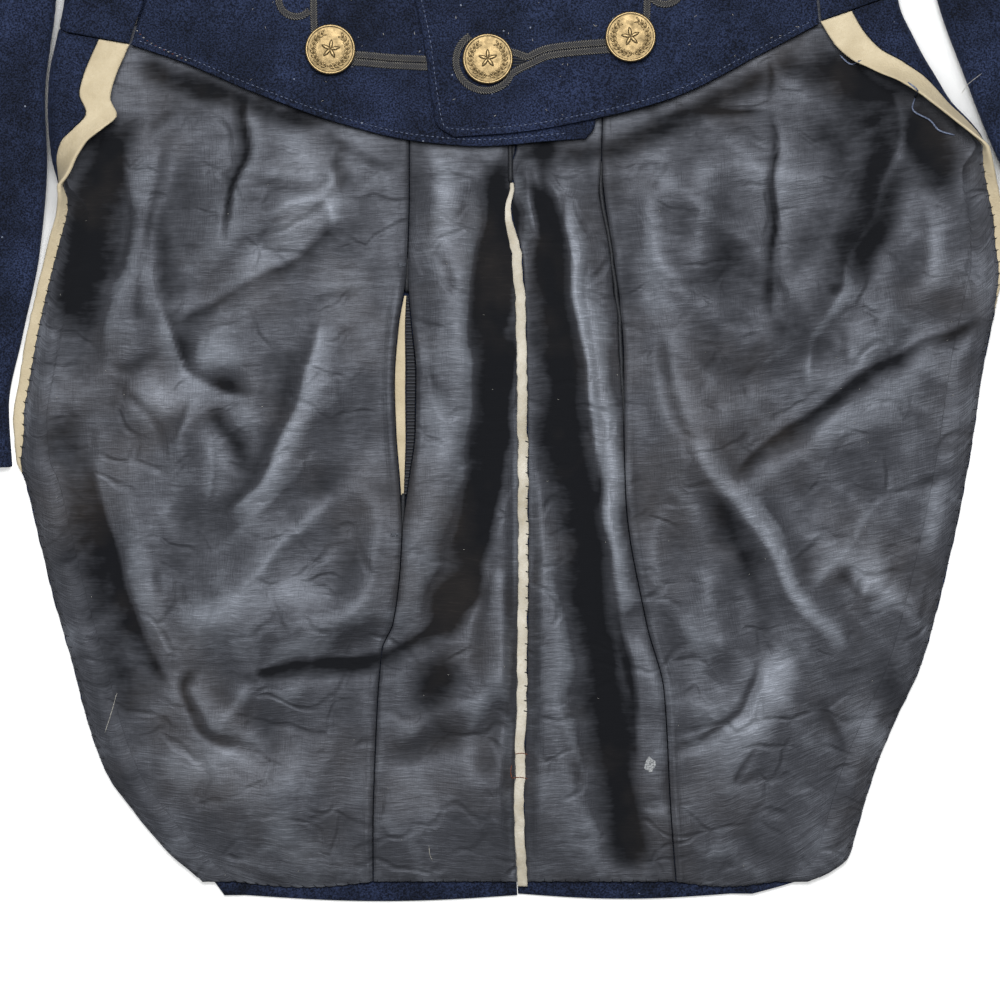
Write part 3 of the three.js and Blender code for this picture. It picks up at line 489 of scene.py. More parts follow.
roll = coat["clothRoll"]
strip = coat["stripWidth"]
rightTail = SimpleNamespace(
    side=-1, name="right", top=-43.2, foot=-442.2, slant=7.6, hemBow=2.8, creamEnd=-248,
    row=table("y reach curl turn flap",
              (-43, 213, roll, 180, 28.6), (-52, 215, 4.9, 180, 26.3), (-62, 217, 5.9, 180, 24),
              (-71.5, 217.8, 6.5, 180, 22.5), (-81.6, 218, 7, 176, 25.9), (-89.9, 217.6, 7, 163, 21),
              (-95.9, 217.1, 6.5, 150, 16.5), (-103.7, 216.2, 6, 132, 15), (-112, 214, 5, 108, 15),
              (-119, 212.8, 5, 78, 15), (-126.7, 213.9, 6, 45, 15), (-138.2, 217.1, 10, 22, 15),
              (-152, 220.8, 14, 12, 15), (-182, 227.7, 14, 9, 15), (-205, 231.8, 14, 8, 15),
              (-222, 234.4, 14, 8, 15), (-242, 232.8, 14, 7, 15), (-251, 229.1, 14, 7, 15),
              (-280, 222, 14, 6, 15), (-307, 215.3, 14, 6, 15), (-336, 207, 14, 6, 15),
              (-363, 200, 14, 6, 15), (-386, 191.3, 14, 6, 15), (-407, 176.2, 14, 5, 15),
              (-424, 161.5, 14, 5, 15), (-435, 148.6, 14, 5, 15), (-442.2, 143.1, 14, 5, 15)),
    seam=table("y x", (-46, -52), (-118, -51.8), (-160, -52.9), (-272, -55), (-291, -55.9), (-317, -59.3),
               (-329, -64.4), (-374, -67.4), (-413, -68.5), (-440, -68.5)),
    bare=table("y width", (-43, strip), (-225, strip), (-252, seamGap), (-445, seamGap)))
leftTail = SimpleNamespace(
    side=1, name="left", top=-24.2, foot=-441.5, slant=16, hemBow=2.4, creamEnd=-172,
    row=table("y reach curl turn flap",
              (-24, 172, roll, 180, 30.5), (-34, 174, 4.8, 180, 27.2), (-46, 179.5, 5.6, 180, 24),
              (-56, 184.6, 6.5, 172, 18), (-64, 189.5, 7, 150, 16), (-77, 197.5, 6, 128, 15),
              (-85.7, 206, 5, 120, 15), (-92, 211, 5, 108, 15), (-100, 214.5, 5, 80, 15),
              (-108, 217.1, 6, 48, 15), (-120, 219.9, 9, 25, 15), (-136, 222.6, 12, 14, 15),
              (-150, 222.6, 14, 10, 15), (-168, 219, 14, 8, 15), (-197, 213, 14, 7, 15),
              (-237, 207, 14, 6, 15), (-269, 201, 14, 6, 15), (-303, 193.2, 14, 6, 15),
              (-336, 184, 14, 6, 15), (-360, 173, 14, 6, 15),
              (-383, 163.3, 14, 6, 15), (-410, 155, 14, 5, 15), (-425, 150.4, 14, 5, 15),
              (-431, 143.1, 14, 5, 15), (-436, 132, 14, 5, 15), (-441.5, 112, 14, 5, 15)),
    seam=table("y x", (-46, 38), (-95, 36.8), (-112, 36.6), (-147, 41.4), (-187, 45.8), (-260, 47.8),
               (-317, 57.3), (-348, 65.3), (-404, 68.5), (-440, 71.3)),
    bare=table("y width", (-24, strip), (-135, strip), (-172, seamGap), (-445, seamGap)))
band = table("y width", (-24, 14.5), (-390, 14.5), (-425, 6))
bandFoot = -434.0


def wrapPoint(row, inner, stretch, run, depth):  # on the ground, round the outer roll, along the flap
    turn = np.radians(row.turn)
    past = np.where(row.turn < 90, row.curl * np.sin(turn) + row.flap * np.cos(turn), row.curl)
    bend = turn * clamp01(stretch - 1)
    out = (lerp(inner, row.reach - past, clamp01(stretch)) + row.curl * np.sin(bend)
           + run * np.cos(turn) - depth * np.sin(bend))
    return out, row.curl * (1 - np.cos(bend)) + run * np.sin(turn) + depth * np.cos(bend)


def tailPoint(tail, station, inner, stretch, run, depth):
    row = tail.row(station)
    fade = 1 - ramp(0, 60, tail.top - station)
    rise = lambda x: (waistY(x) - seamGap / 2 - tail.top) * fade
    out, z = wrapPoint(row, inner(station + rise(0)), stretch, run, depth)
    x = tail.side * out
    fall = tail.slant * fade * (0.35 * clamp01(2 * stretch - 3) + 0.65 * run / row.flap)
    bow = ramp(-380, -442, station) * tail.hemBow * np.sin(np.pi * clamp01(stretch))
    return point(x, station + np.where(stretch <= 1, rise(x), 0) - fall - bow, z)


def innerEdge(tail):
    return lambda y: tail.side * ventLine(y).x + seamGap / 2


def stretchAndRun(tail, rows, ground, turns, flaps, endWidth):  # columns of a tail's grid
    flap = tail.row(rows).flap - endWidth(rows)
    stretch = np.concatenate([ground, np.linspace(1, 2, turns + 1)[1:], np.full(flaps, 2.0)])
    run = np.concatenate([np.zeros(len(ground) + turns), np.linspace(0, 1, flaps + 1)[1:]])
    return (rows[:, None] + 0 * stretch[None], np.tile(stretch, (len(rows), 1)), flap[:, None] * run[None])


def makeTail(tail):
    rows = np.linspace(tail.top, tail.foot, 150)
    bandWidth = lambda y: band(y).width
    station, stretch, run = stretchAndRun(tail, rows, np.linspace(0, 1, 26), 10, 4, bandWidth)
    inner = innerEdge(tail)
    over = tailPoint(tail, station, inner, stretch, run, woolThick)
    under = tailPoint(tail, station, inner, stretch, run, 0.0)
    clothPiece(f"{tail.name}TailWool", f"tail_{tail.name}", over, under, broadcloth)
    rows = np.linspace(tail.top, bandFoot, 200)
    flap = tail.row(rows).flap
    width = band(rows).width - seamGap
    share = np.linspace(0, 1, 8)
    fray = 0.25 * softNoise(rows, 0 * rows, 3.0, 11)  # cut edge, a little uneven
    run = flap[:, None] - width[:, None] * (1 - share[None]) + fray[:, None] * share[None] ** 4
    station = rows[:, None] + 0 * share[None]
    puff = 0.5 * np.sin(np.pi * share)[None] * (1 + 0.5 * softNoise(station, 0 * station, 9.0, 12))
    over = tailPoint(tail, station, inner, 2 + 0 * run, run, woolThick + 0.1 + puff)
    under = tailPoint(tail, station, inner, 2 + 0 * run, run, 0.1)
    piece = clothPiece(f"{tail.name}TailBand", f"band_{tail.name}", over, under, creamWool)
    piece.data.materials.append(broadcloth)  # lower down the turned edge is the navy cloth itself
    for face in piece.data.polygons:
        if face.center[1] < tail.creamEnd * 0.001:
            face.material_index = 1


for tail in (rightTail, leftTail):
    makeTail(tail)
print("tails made")


# Lining.
lining = {
    "under": 0.35,  # gap over the wool where it lies closest
    "slack": 3.4,  # how far it stands off the wool between folds
    "thick": 0.55,
    "lowest": 0.2,
    "highest": 12.0,
    "rowStep": 1.7,  # mesh size
    "strokeStep": 2.5,  # along a listed fold
    "warp": 2.2,  # how far noise bends the listed folds
    "scallop": 5.3,  # distance between edge stitches
    "lesser": ((95, 38, 2.2, 4), (44, 17, 0.5, 7), (24, 8, 0.14, 9)),  # folds: length, width, height, seed
}
# Folds: height, sharpness, width on either side, then the path they run along.
liningFolds = [
    (3, 0, 40, 58, (-118, -76), (-123, -168), (-125, -246), (-123, -324), (-116, -416)),
    (2.5, 0, 20, 22, (-38, -90), (-35, -168), (-38, -228), (-47, -288), (-45, -352)),
    (-4, 0, 26, 18, (-192, -85), (-189, -136), (-194, -177), (-208, -214)),
    (-2.5, 0, 20, 26, (-171, -288), (-153, -324), (-125, -361), (-93, -380)),
    (2.4, 1, 34, 20, (-38, -251), (-56, -292), (-88, -313), (-134, -318), (-171, -306)),
    (1.8, 1, 30, 22, (-81, -108), (-111, -136), (-148, -168), (-185, -196)),
    (2, 0, 26, 22, (-167, -389), (-121, -398), (-84, -412)),
    (-3.4, 0, 15, 14, (-10, -104), (-14, -168), (-19, -228), (-28, -288), (-38, -324)),
    (-4.5, 0, 22, 22, (-196, -104), (-189, -129), (-192, -161)),
    (3.2, 1, 9, 22, (-183, -90), (-180, -108), (-178, -129), (-180, -145), (-185, -168), (-189, -186),
     (-190, -200)),
    (-1.3, 1, 3, 4, (-163, -94), (-167, -113), (-170, -127), (-173, -140), (-176, -157), (-178, -173),
     (-179, -182)),
    (2.1, 1, 9, 14, (-169, -136), (-171, -150), (-172, -161), (-167, -175), (-163, -189), (-160, -198)),
    (-2.4, 0, 13, 22, (-155, -99), (-158, -117), (-162, -140), (-162, -163), (-161, -173)),
    (-0.8, 0.7, 3, 3, (-171, -95), (-167, -86), (-159, -84)),
    (-1.3, 1, 2, 2, (-126, -75), (-127, -90), (-127, -104), (-132, -115), (-136, -124), (-138, -134),
     (-137, -145)),
    (-1, 0.6, 4, 4, (-94, -90), (-79, -98), (-56, -113)),
    (-0.9, 0.7, 3, 4, (-128, -108), (-121, -113), (-107, -116), (-93, -115), (-88, -106)),
    (1.2, 0.7, 4, 4, (-87, -120), (-102, -123), (-116, -129)),
    (1, 0.7, 4, 4, (-87, -120), (-85, -106)),
    (1, 0.7, 4, 4, (-87, -120), (-84, -137)),
    (-2.1, 0.2, 13, 14, (-161, -173), (-148, -166), (-130, -150), (-107, -134)),
    (-0.9, 0.8, 3, 3, (-98, -173), (-93, -168), (-74, -163)),
    (3.7, 1, 16, 31, (-88, -177), (-94, -191), (-102, -214), (-109, -232), (-116, -246), (-137, -267),
     (-146, -272)),
    (-3, 1, 22, 13, (-98, -182), (-107, -205), (-114, -223), (-125, -246), (-134, -260), (-146, -271),
     (-153, -265), (-158, -251)),
    (-2.6, 1, 13, 13, (-161, -182), (-157, -193), (-153, -201), (-144, -205), (-130, -209), (-121, -209)),
    (2.2, 0, 19, 19, (-185, -209), (-171, -214), (-158, -210)),
    (-1, 0.9, 3, 3, (-188, -201), (-178, -199), (-167, -192)),
    (-0.8, 0.9, 3, 3, (-190, -203), (-178, -212), (-169, -221), (-164, -232), (-163, -246)),
    (0.9, 0.8, 2, 4, (-148, -207), (-152, -214), (-155, -226), (-157, -246)),
    (-1.9, 1, 11, 14, (-146, -212), (-137, -228), (-126, -245)),
    (-1.9, 1, 9, 11, (-210, -212), (-206, -228), (-200, -244), (-195, -251)),
    (-3, 1, 22, 11, (-198, -242), (-194, -255), (-191, -269), (-189, -281), (-185, -292), (-180, -306),
     (-176, -318), (-171, -329), (-164, -343), (-161, -347)),
    (2, 0, 11, 26, (-185, -251), (-178, -278), (-171, -306), (-162, -329)),
    (-1.8, 0.1, 16, 16, (-169, -291), (-144, -283), (-130, -269), (-118, -262), (-75, -255)),
    (-0.8, 0.8, 2, 3, (-169, -291), (-167, -308)),
    (-2.6, 1, 13, 14, (-127, -339), (-126, -336), (-121, -335), (-102, -334), (-84, -331), (-66, -330),
     (-54, -324), (-42, -316), (-34, -307), (-29, -295)),
    (2.2, 1, 11, 20, (-121, -333), (-102, -327), (-93, -321), (-81, -315), (-56, -307)),
    (-1.3, 0.8, 4, 4, (-147, -336), (-154, -341), (-157, -347), (-156, -352), (-150, -359),
     (-146, -366), (-139, -370), (-127, -375), (-116, -377)),
    (1.9, 1, 9, 13, (-127, -343), (-130, -352), (-137, -359), (-146, -364)),
    (-2.1, 0, 22, 22, (-130, -370), (-109, -362), (-88, -359)),
    (2, 0, 19, 16, (-187, -373), (-167, -380), (-146, -380)),
    (-0.8, 0.7, 3, 3, (-133, -428), (-123, -430), (-104, -437)),
    (2.2, 0.2, 16, 16, (-24, -97), (-35, -108), (-39, -122), (-40, -145)),
    (-0.9, 0.6, 3, 3, (-38, -143), (-33, -154), (-31, -170)),
    (3, 1, 29, 11, (-20, -131), (-22, -150), (-23, -168), (-25, -186), (-25, -205), (-24, -219),
     (-25, -237), (-31, -260), (-35, -274)),
    (-3.6, 0, 14, 13, (-10, -115), (-10, -145), (-11, -184)),
    (-2.7, 0.2, 13, 13, (-4, -182), (-12, -214), (-19, -246), (-24, -288)),
    (-3.8, 0, 14, 14, (-28, -290), (-28, -311)),
    (-1, 0.7, 3, 3, (-12, -281), (-17, -306), (-20, -324), (-21, -347)),
    (2, 0, 10, 11, (-9, -288), (-10, -352)),
    (2.2, 1, 13, 13, (-63, -371), (-42, -362), (-19, -352), (-12, -335)),
    (-1.9, 1, 11, 11, (-63, -382), (-47, -374), (-24, -367), (-15, -360)),
    (-2.1, 1, 11, 9, (-5, -343), (-10, -361), (-14, -375), (-13, -393)),
    (2.6, 0, 20, 50, (63, -85), (70, -168), (77, -246), (91, -324), (100, -416)),
    (2.6, 0, 40, 36, (142, -122), (151, -177), (155, -246), (151, -306), (137, -380)),
    (2, 1, 12, 14, (25, -117), (28, -168), (35, -228), (45, -288), (54, -324), (63, -361)),
    (-3.4, 0, 14, 14, (8, -140), (12, -223), (22, -288), (36, -352), (46, -416)),
    (2.2, 1, 30, 40, (54, -168), (82, -228), (114, -278), (142, -324), (165, -352)),
    (2, 1, 34, 20, (201, -182), (165, -214), (123, -242), (82, -260)),
    (-3, 0, 24, 30, (201, -71), (174, -113), (155, -159), (123, -191), (91, -214)),
    (-3.2, 0, 14, 13, (-6, -101), (17, -101)),
    (1.2, 0.8, 2, 3, (-3, -112), (1, -106), (6, -108), (8, -115), (13, -121)),
    (-1.2, 0.9, 2, 2, (8, -122), (15, -138)),
    (1.4, 0.6, 2, 3, (2, -116), (4, -129), (7, -141)),
    (1.4, 0.6, 2, 3, (11, -111), (17, -122), (20, -139)),
    (-4.3, 0.1, 16, 14, (12, -149), (14, -214), (20, -246), (27, -269), (30, -306), (32, -352),
     (34, -380), (40, -398), (47, -412), (50, -435)),
    (3.8, 1, 13, 13, (17, -106), (20, -122), (23, -140), (24, -163), (27, -186), (30, -214), (32, -228)),
    (-0.9, 0.9, 2, 3, (29, -145), (31, -186), (36, -228), (35, -246), (37, -269)),
    (0.9, 0.7, 3, 4, (13, -359), (17, -354), (24, -370), (31, -389), (36, -398)),
    (-2, 0, 10, 11, (53, -305), (53, -330)),
    (2, 0.2, 11, 11, (39, -255), (39, -325)),
    (-0.9, 0.7, 3, 3, (45, -324), (51, -352)),
    (-1.1, 1, 2, 2, (112, -57), (114, -69), (115, -80)),
    (-1, 1, 2, 3, (117, -84), (117, -104), (115, -122), (117, -138), (118, -152), (117, -163), (115, -178)),
    (-0.9, 1, 2, 2, (73, -82), (118, -82)),
    (-1.8, 0, 13, 13, (133, -54), (151, -65), (168, -74), (179, -85), (187, -108)),
    (3.8, 1, 22, 11, (165, -69), (165, -78), (172, -84), (171, -99), (167, -113), (162, -122),
     (156, -134), (151, -145), (146, -159), (143, -168), (138, -176), (128, -184), (116, -193),
     (105, -200), (98, -206)),
    (1, 0.8, 3, 3, (136, -176), (134, -191), (132, -209), (129, -214)),
    (2.1, 0.2, 11, 13, (85, -97), (84, -117), (82, -137), (77, -160)),
    (-0.9, 0.7, 3, 3, (139, -164), (151, -160)),
    (-0.9, 0.7, 3, 3, (148, -182), (150, -200)),
    (2.2, 0, 21, 21, (161, -144), (161, -200)),
    (2.1, 1, 13, 13, (183, -117), (188, -140), (190, -168)),
    (-2, 0, 13, 13, (179, -121), (181, -169)),
    (-1.3, 0.6, 4, 4, (63, -182), (66, -200), (70, -219), (77, -232)),
    (-3.4, 1, 18, 13, (215, -168), (197, -175), (188, -182), (174, -193), (151, -209), (128, -222),
     (109, -236), (95, -249)),
    (2.7, 1, 11, 18, (195, -181), (183, -199), (151, -220), (128, -232)),
    (1.9, 1, 9, 9, (213, -180), (201, -192), (192, -210)),
    (3, 1, 14, 11, (77, -228), (82, -237), (91, -251), (103, -262), (116, -283), (123, -297),
     (128, -306), (137, -324), (151, -329)),
    (0.9, 0.8, 2, 2, (104, -258), (115, -270), (124, -284)),
    (1.9, 1, 13, 13, (80, -287), (86, -313), (93, -338)),
    (-1.8, 0.2, 11, 11, (82, -255), (98, -288)),
    (1.9, 1, 9, 9, (135, -301), (151, -278)),
    (2, 1, 9, 9, (146, -311), (169, -281)),
    (-1.2, 0.6, 4, 4, (174, -255), (188, -251), (204, -244)),
    (-0.8, 0.7, 3, 3, (137, -343), (160, -337)),
    (-1.3, 0.6, 4, 4, (108, -331), (108, -341), (106, -350), (103, -357), (96, -362), (89, -367),
     (82, -373), (67, -376)),
    (-0.8, 0.8, 2, 2, (110, -370), (106, -377), (100, -389), (118, -383)),
]
# Painted light, set out the same way: above 0 a painted highlight on glossier cloth, below 0 painted shade on
# duller cloth.
liningPaintedLight = [
    (-0.8, 1, 7, 1.5, (-126, -71), (-127, -90), (-127, -104), (-132, -117), (-137, -136)),
    (0.4, 1, 1.5, 9, (-126, -71), (-127, -90), (-127, -104), (-132, -117), (-137, -136)),
    (0.48, 1, 2, 10, (-90, -173), (-94, -191), (-102, -214), (-109, -232), (-117, -249), (-137, -268)),
    (-0.48, 1, 12, 2, (-93, -174), (-97, -191), (-105, -214), (-112, -232), (-121, -249), (-139, -266)),
    (-0.72, 1, 2, 9, (-167, -168), (-161, -186), (-153, -200), (-137, -208), (-120, -209)),
    (0.4, 1, 9, 1.5, (-168, -172), (-162, -189), (-154, -203), (-137, -210), (-121, -211)),
    (-0.72, 1, 10, 2.5, (-132, -341), (-102, -335), (-66, -331), (-42, -317), (-28, -292)),
    (0.4, 1, 2, 10, (-130, -338), (-102, -332), (-68, -328), (-45, -314)),
    (-0.56, 1, 10, 2.5, (-198, -239), (-191, -269), (-180, -306), (-171, -329), (-160, -349)),
    (0.32, 1, 2, 12, (-196, -239), (-189, -269), (-178, -306), (-169, -329)),
    (-0.48, 1, 2, 6, (-147, -335), (-155, -342), (-156, -352), (-146, -367), (-126, -376)),
    (-0.56, 1, 1.5, 16, (-13, -113), (-19, -142), (-23, -190), (-25, -239), (-32, -288)),
    (-0.48, 1, 1.5, 12, (-3, -173), (-10, -209), (-16, -239), (-23, -288), (-29, -320)),
    (-0.8, 1, 14, 1.5, (19, -117), (21, -150), (27, -199), (33, -239), (40, -288), (49, -334), (54, -384)),
    (0.32, 1, 1.5, 9, (21, -122), (23, -150), (29, -199), (35, -239), (43, -288), (51, -334)),
    (0.44, 1, 3, 6, (75, -226), (91, -251), (116, -283), (128, -306), (151, -331)),
    (-0.4, 1, 7, 2, (74, -229), (88, -254), (113, -286), (125, -309), (146, -334)),
    (-0.56, 1, 10, 2.5, (94, -250), (128, -223), (174, -194), (214, -176)),
    (0.36, 1, 2, 9, (96, -246), (128, -220), (174, -191), (211, -174)),
    (-0.64, 1, 12, 1.5, (167, -69), (172, -85), (170, -101), (162, -122), (151, -146), (138, -176),
     (116, -193), (98, -207)),
    (0.4, 1, 1.5, 9, (168, -71), (174, -86), (172, -103), (164, -123), (152, -148), (139, -178)),
    (0.44, 1, 1.5, 11, (108, -330), (108, -341), (103, -357), (89, -368), (66, -377)),
    (-0.64, 1, 5, 1.2, (117, -82), (117, -104), (117, -138), (115, -180)),
    (0.24, 1, 1.2, 8, (118, -84), (118, -104), (118, -138), (115, -177)),
    (-0.64, 1, 3.5, 1.2, (59, -82), (82, -82), (118, -83)),
    (-0.48, 1, 6, 1.5, (133, -347), (144, -367), (151, -384)),
    (-0.48, 1, 2, 7, (142, -288), (159, -306), (174, -292)),
    (0.48, 1, 2, 7, (132, -304), (151, -278), (165, -260)),
    (-0.48, 1, 5, 1.5, (-81, -122), (-85, -107), (-81, -94)),
    (0.48, 1, 6, 2, (-84, -138), (-88, -121), (-102, -126), (-120, -132)),
    (-0.48, 1, 7, 1.5, (-162, -182), (-132, -164), (-98, -145), (-79, -127)),
    (0.36, 1, 2, 9, (-164, -178), (-133, -161), (-100, -142), (-81, -122)),
    (-0.8, 0, 10, 9, (-178, -55), (-157, -68), (-125, -77), (-88, -89)),
    (-0.7, 0, 10, 9, (-3, -106), (17, -99), (40, -99), (68, -86), (100, -72), (132, -55)),
    (-0.5, 0, 22, 22, (142, -67), (151, -113), (142, -159)),
    (-0.45, 0, 14, 12, (-171, -117), (-167, -150), (-157, -177)),
    (-0.4, 0, 14, 14, (-213, -260), (-199, -306), (-176, -361)),
    (-0.8, 0, 9, 9, (4, -106), (11, -127), (15, -150)),
    (-0.35, 0, 12, 12, (165, -324), (174, -370)),
    (-0.4, 0, 10, 10, (-56, -334), (-24, -347)),
    (0.45, 0, 10, 10, (-134, -232), (-148, -260)),
    (0.5, 0, 9, 9, (-88, -122), (-111, -140), (-134, -152)),
    (0.4, 0, 10, 10, (59, -136), (63, -182)),
    (0.45, 0, 8, 8, (192, -246), (188, -288)),
    (-1.1, 0, 16, 20, (-208, -191), (-198, -145), (-189, -104), (-176, -81)),
    (-0.6, 0, 12, 14, (-219, -214), (-208, -251), (-192, -292), (-178, -329)),
    (-1.1, 0, 11, 11, (-10, -99), (-10, -214), (-22, -283), (-35, -315)),
    (-0.5, 0, 8, 8, (-146, -212), (-126, -245)),
    (-0.5, 0, 14, 14, (-33, -297), (-38, -347), (-38, -380)),
    (0.7, 0, 14, 14, (-130, -182), (-157, -209), (-180, -214)),
    (0.6, 0, 12, 12, (-162, -315), (-121, -306), (-84, -301)),
    (0.6, 0, 12, 14, (-167, -387), (-116, -373)),
    (0.4, 0, 14, 14, (-107, -81), (-88, -122)),
    (0.6, 0, 8, 8, (-38, -99), (-35, -150)),
    (0.3, 0, 10, 10, (-38, -205), (-38, -246)),
    (0.4, 0, 22, 16, (-121, -407), (-88, -426)),
    (-1, 0, 14, 14, (11, -131), (17, -223), (32, -306), (46, -398), (54, -435)),
    (-1.1, 0, 16, 16, (128, -53), (160, -76), (185, -94), (201, -122)),
    (-0.8, 0, 14, 14, (165, -81), (165, -122), (146, -163)),
    (-0.5, 0, 10, 10, (91, -251), (109, -306), (112, -334)),
    (0.8, 0, 15, 15, (149, -274), (174, -315)),
    (0.8, 0, 12, 12, (123, -324), (109, -361), (89, -380)),
    (0.6, 0, 14, 14, (174, -168), (190, -200)),
    (0.5, 0, 14, 14, (151, -347), (165, -380)),
    (0.5, 0, 10, 10, (77, -301), (82, -352)),
    (-0.3, 0, 22, 22, (86, -113), (93, -205)),
    (0.5, 0, 9, 9, (31, -150), (36, -214), (47, -269)),
]
rightHem = table("x y", (-180.3, -50.8), (-156, -59), (-123, -72.9), (-84, -87), (-48, -95.4), (-18, -97.7),
                 (11, -95.4), (29.4, -94))
leftHem = table("x y", (-31.3, -93.6), (-3.7, -91.7), (31, -85.7), (68, -76), (109, -55.8), (137, -41))
slit = table("y out in_", (-150, 0.15, 0.15), (-156, 0.3, 0.3), (-180, 3.8, 2.8), (-204, 5.2, 5.2),
             (-228, 4.2, 5.2), (-252, 1.9, 2.6), (-272, 0.15, 0.15))


def hemY(x):
    return np.where(x < -25, rightHem(x).y, np.minimum(rightHem(x).y, leftHem(x).y))


gridLeft, gridRight, gridFoot, gridTop = -242, 232, -448, -8
gridX, gridY = np.meshgrid(np.arange(gridLeft, gridRight, 1.0), np.arange(gridFoot, gridTop, 1.0))
bentX = gridX + lining["warp"] * softNoise(gridX, gridY, 17, 1)
bentY = gridY + lining["warp"] * softNoise(gridX, gridY, 17, 2)


def layStrokes(strokes, ground):  # ridges and troughs along listed paths, added up over the grid
    lift = np.full(gridX.shape, float(ground))
    step = lining["strokeStep"]
    for height, sharp, widthA, widthB, *path in strokes:
        p = smoothPath(path, step)
        reach = max(widthA, widthB) + lining["warp"] + 1
        low, high = p.min(axis=0) - reach, p.max(axis=0) + reach
        window = tuple(slice(max(0, int(low[i] - start)), max(0, int(high[i] - start + 1)))
                       for i, start in ((1, gridFoot), (0, gridLeft)))
        x, y = bentX[window], bentY[window]
        best, signed, along = np.full(x.shape, 1e9), np.zeros(x.shape), np.zeros(x.shape)
        length = len(p) - 1
        for i, ((ax, ay), (bx, by)) in enumerate(zip(p, p[1:])):
            dx, dy = bx - ax, by - ay
            t = clamp01(((x - ax) * dx + (y - ay) * dy) / (dx * dx + dy * dy))
            gap = np.hypot(x - ax - t * dx, y - ay - t * dy)
            near = gap < best
            best = np.where(near, gap, best)
            signed = np.where(near, dx * (y - ay) - dy * (x - ax), signed)
            along = np.where(near, i + t, along)
        q = best / np.where(signed > 0, widthB, widthA)
        tent = np.maximum(0, 1.1 - np.sqrt(q * q + 0.01)) ** 1.35  # level flanks that meet in a narrow crest
        bump = lerp(1 - ease(q), tent, sharp)
        span, along = length * step, along * step
        tip = min(0.4 * span, max(16.0, 1.2 * max(widthA, widthB)))
        lift[window] += height * bump * ease(along / tip + 0.1) * ease((span - along) / tip + 0.1)
    return lift


def layFolds():  # the lining's height over the wool
    lift = layStrokes(liningFolds, lining["slack"])
    lift += 0.8 * softNoise(gridX, gridY, 34, 3)
    out = np.abs(bentX + 4)
    bow = 9 * softNoise(gridX, gridY, 60, 15) + 0.0006 * (out - 106) ** 2
    far = np.where(gridX < -4, 0, 500)
    for long, wide, high, seed in lining["lesser"]:  # they fan out over the hips and hang near the vent
        fan = softNoise((0.78 * out - 0.62 * bentY + far) * 20 / long,
                        (0.62 * out + 0.78 * bentY + bow) * 20 / wide, 20, seed)
        hang = softNoise((bentX + bow + far) * 20 / wide, bentY * 20 / long, 20, seed + 10)
        crest = 1 - np.sqrt(lerp(hang, fan, ramp(40, 85, out)) ** 2 + 0.004)
        lift += high * (crest ** 2 - 0.5)
    top = lining["highest"]
    lift = np.where(lift > 0.6 * top, 0.6 * top + 0.4 * top * np.tanh((lift - 0.6 * top) / (0.4 * top)), lift)
    low = lining["lowest"]  # the wool below stops the deepest hollows
    return low + np.log1p(np.exp((lift - low) / 0.9)) * 0.9


foldGrid = layFolds()


def blurred(grid, reach):  # running mean over a square, twice
    for axis in (0, 1, 0, 1):
        padded = np.concatenate([np.repeat(np.take(grid, [0], axis), reach + 1, axis), grid,
                                 np.repeat(np.take(grid, [-1], axis), reach, axis)], axis)
        total = np.cumsum(padded, axis)
        size, long = 2 * reach + 1, grid.shape[axis]
        grid = (np.take(total, range(size, size + long), axis) - np.take(total, range(long), axis)) / size
    return grid


paintedLightGrid = 0.34 * np.tanh((foldGrid - blurred(foldGrid, 5)) / 0.7)  # painted highlights and more gloss on the crests, painted shade in the hollows
# painted highlights and painted shade along the listed strokes
paintedLightGrid += np.tanh(0.9 * layStrokes(liningPaintedLight, 0))


def softMin(a, b, blendBy=1.2):  # the lower of two heights, without a hard corner
    share = clamp01(0.5 + 0.5 * (b - a) / blendBy)
    return lerp(b, a, share) - blendBy * share * (1 - share)


def gridAt(grid, x, y):
    u = np.clip(x - gridLeft, 0, gridRight - gridLeft - 1.1)
    v = np.clip(y - gridFoot, 0, gridTop - gridFoot - 1.1)
    i, j = u.astype(int), v.astype(int)
    fu, fv = u - i, v - j
    return lerp(lerp(grid[j, i], grid[j, i + 1], fu), lerp(grid[j + 1, i], grid[j + 1, i + 1], fu), fv)


def liningLift(tail, station, x, y, stretch):  # held down under the fronts, in the roll and at the hem
    row = tail.row(station)
    underFront = 2.0 + 11 * ramp(2, 34, hemY(x) - y)
    inRoll = np.where(row.turn > 60, np.maximum(0, row.curl - 4.2), 3.5)
    limit = softMin(underFront, lerp(underFront, inRoll, ease(stretch) ** 1.5), 1.5)
    atHem = 0.3 * ramp(-438, -432, y) + 0.7 * ramp(-438, -404, y)
    return np.maximum(0, softMin(gridAt(foldGrid, x, y), limit, 2.4)) * atHem


def gape(y):  # the left tail's lining seam has come open below the waist
    return (1.1 + 0.7 * softNoise(y, 0 * y, 9, 51)) * ramp(-100, -116, y) * (1 - ramp(-190, -226, y))


liningRims, liningHems = {}, {}  # edges that are stitched down


def liningRows(tail):
    rows = np.linspace(tail.top, tail.foot, int(400 / lining["rowStep"]))
    rows = np.maximum(rows, coat["hemY"] + coat["hemReveal"])
    return rows[np.concatenate([[True], np.diff(rows) < 0])]


def scallopHem(over, under):  # each stitch draws the hem up
    for face in (over, under):
        face[-1, :, 1] += 0.45 * (1 - np.abs(np.sin(np.pi * face[-1, :, 0] / lining["scallop"])))


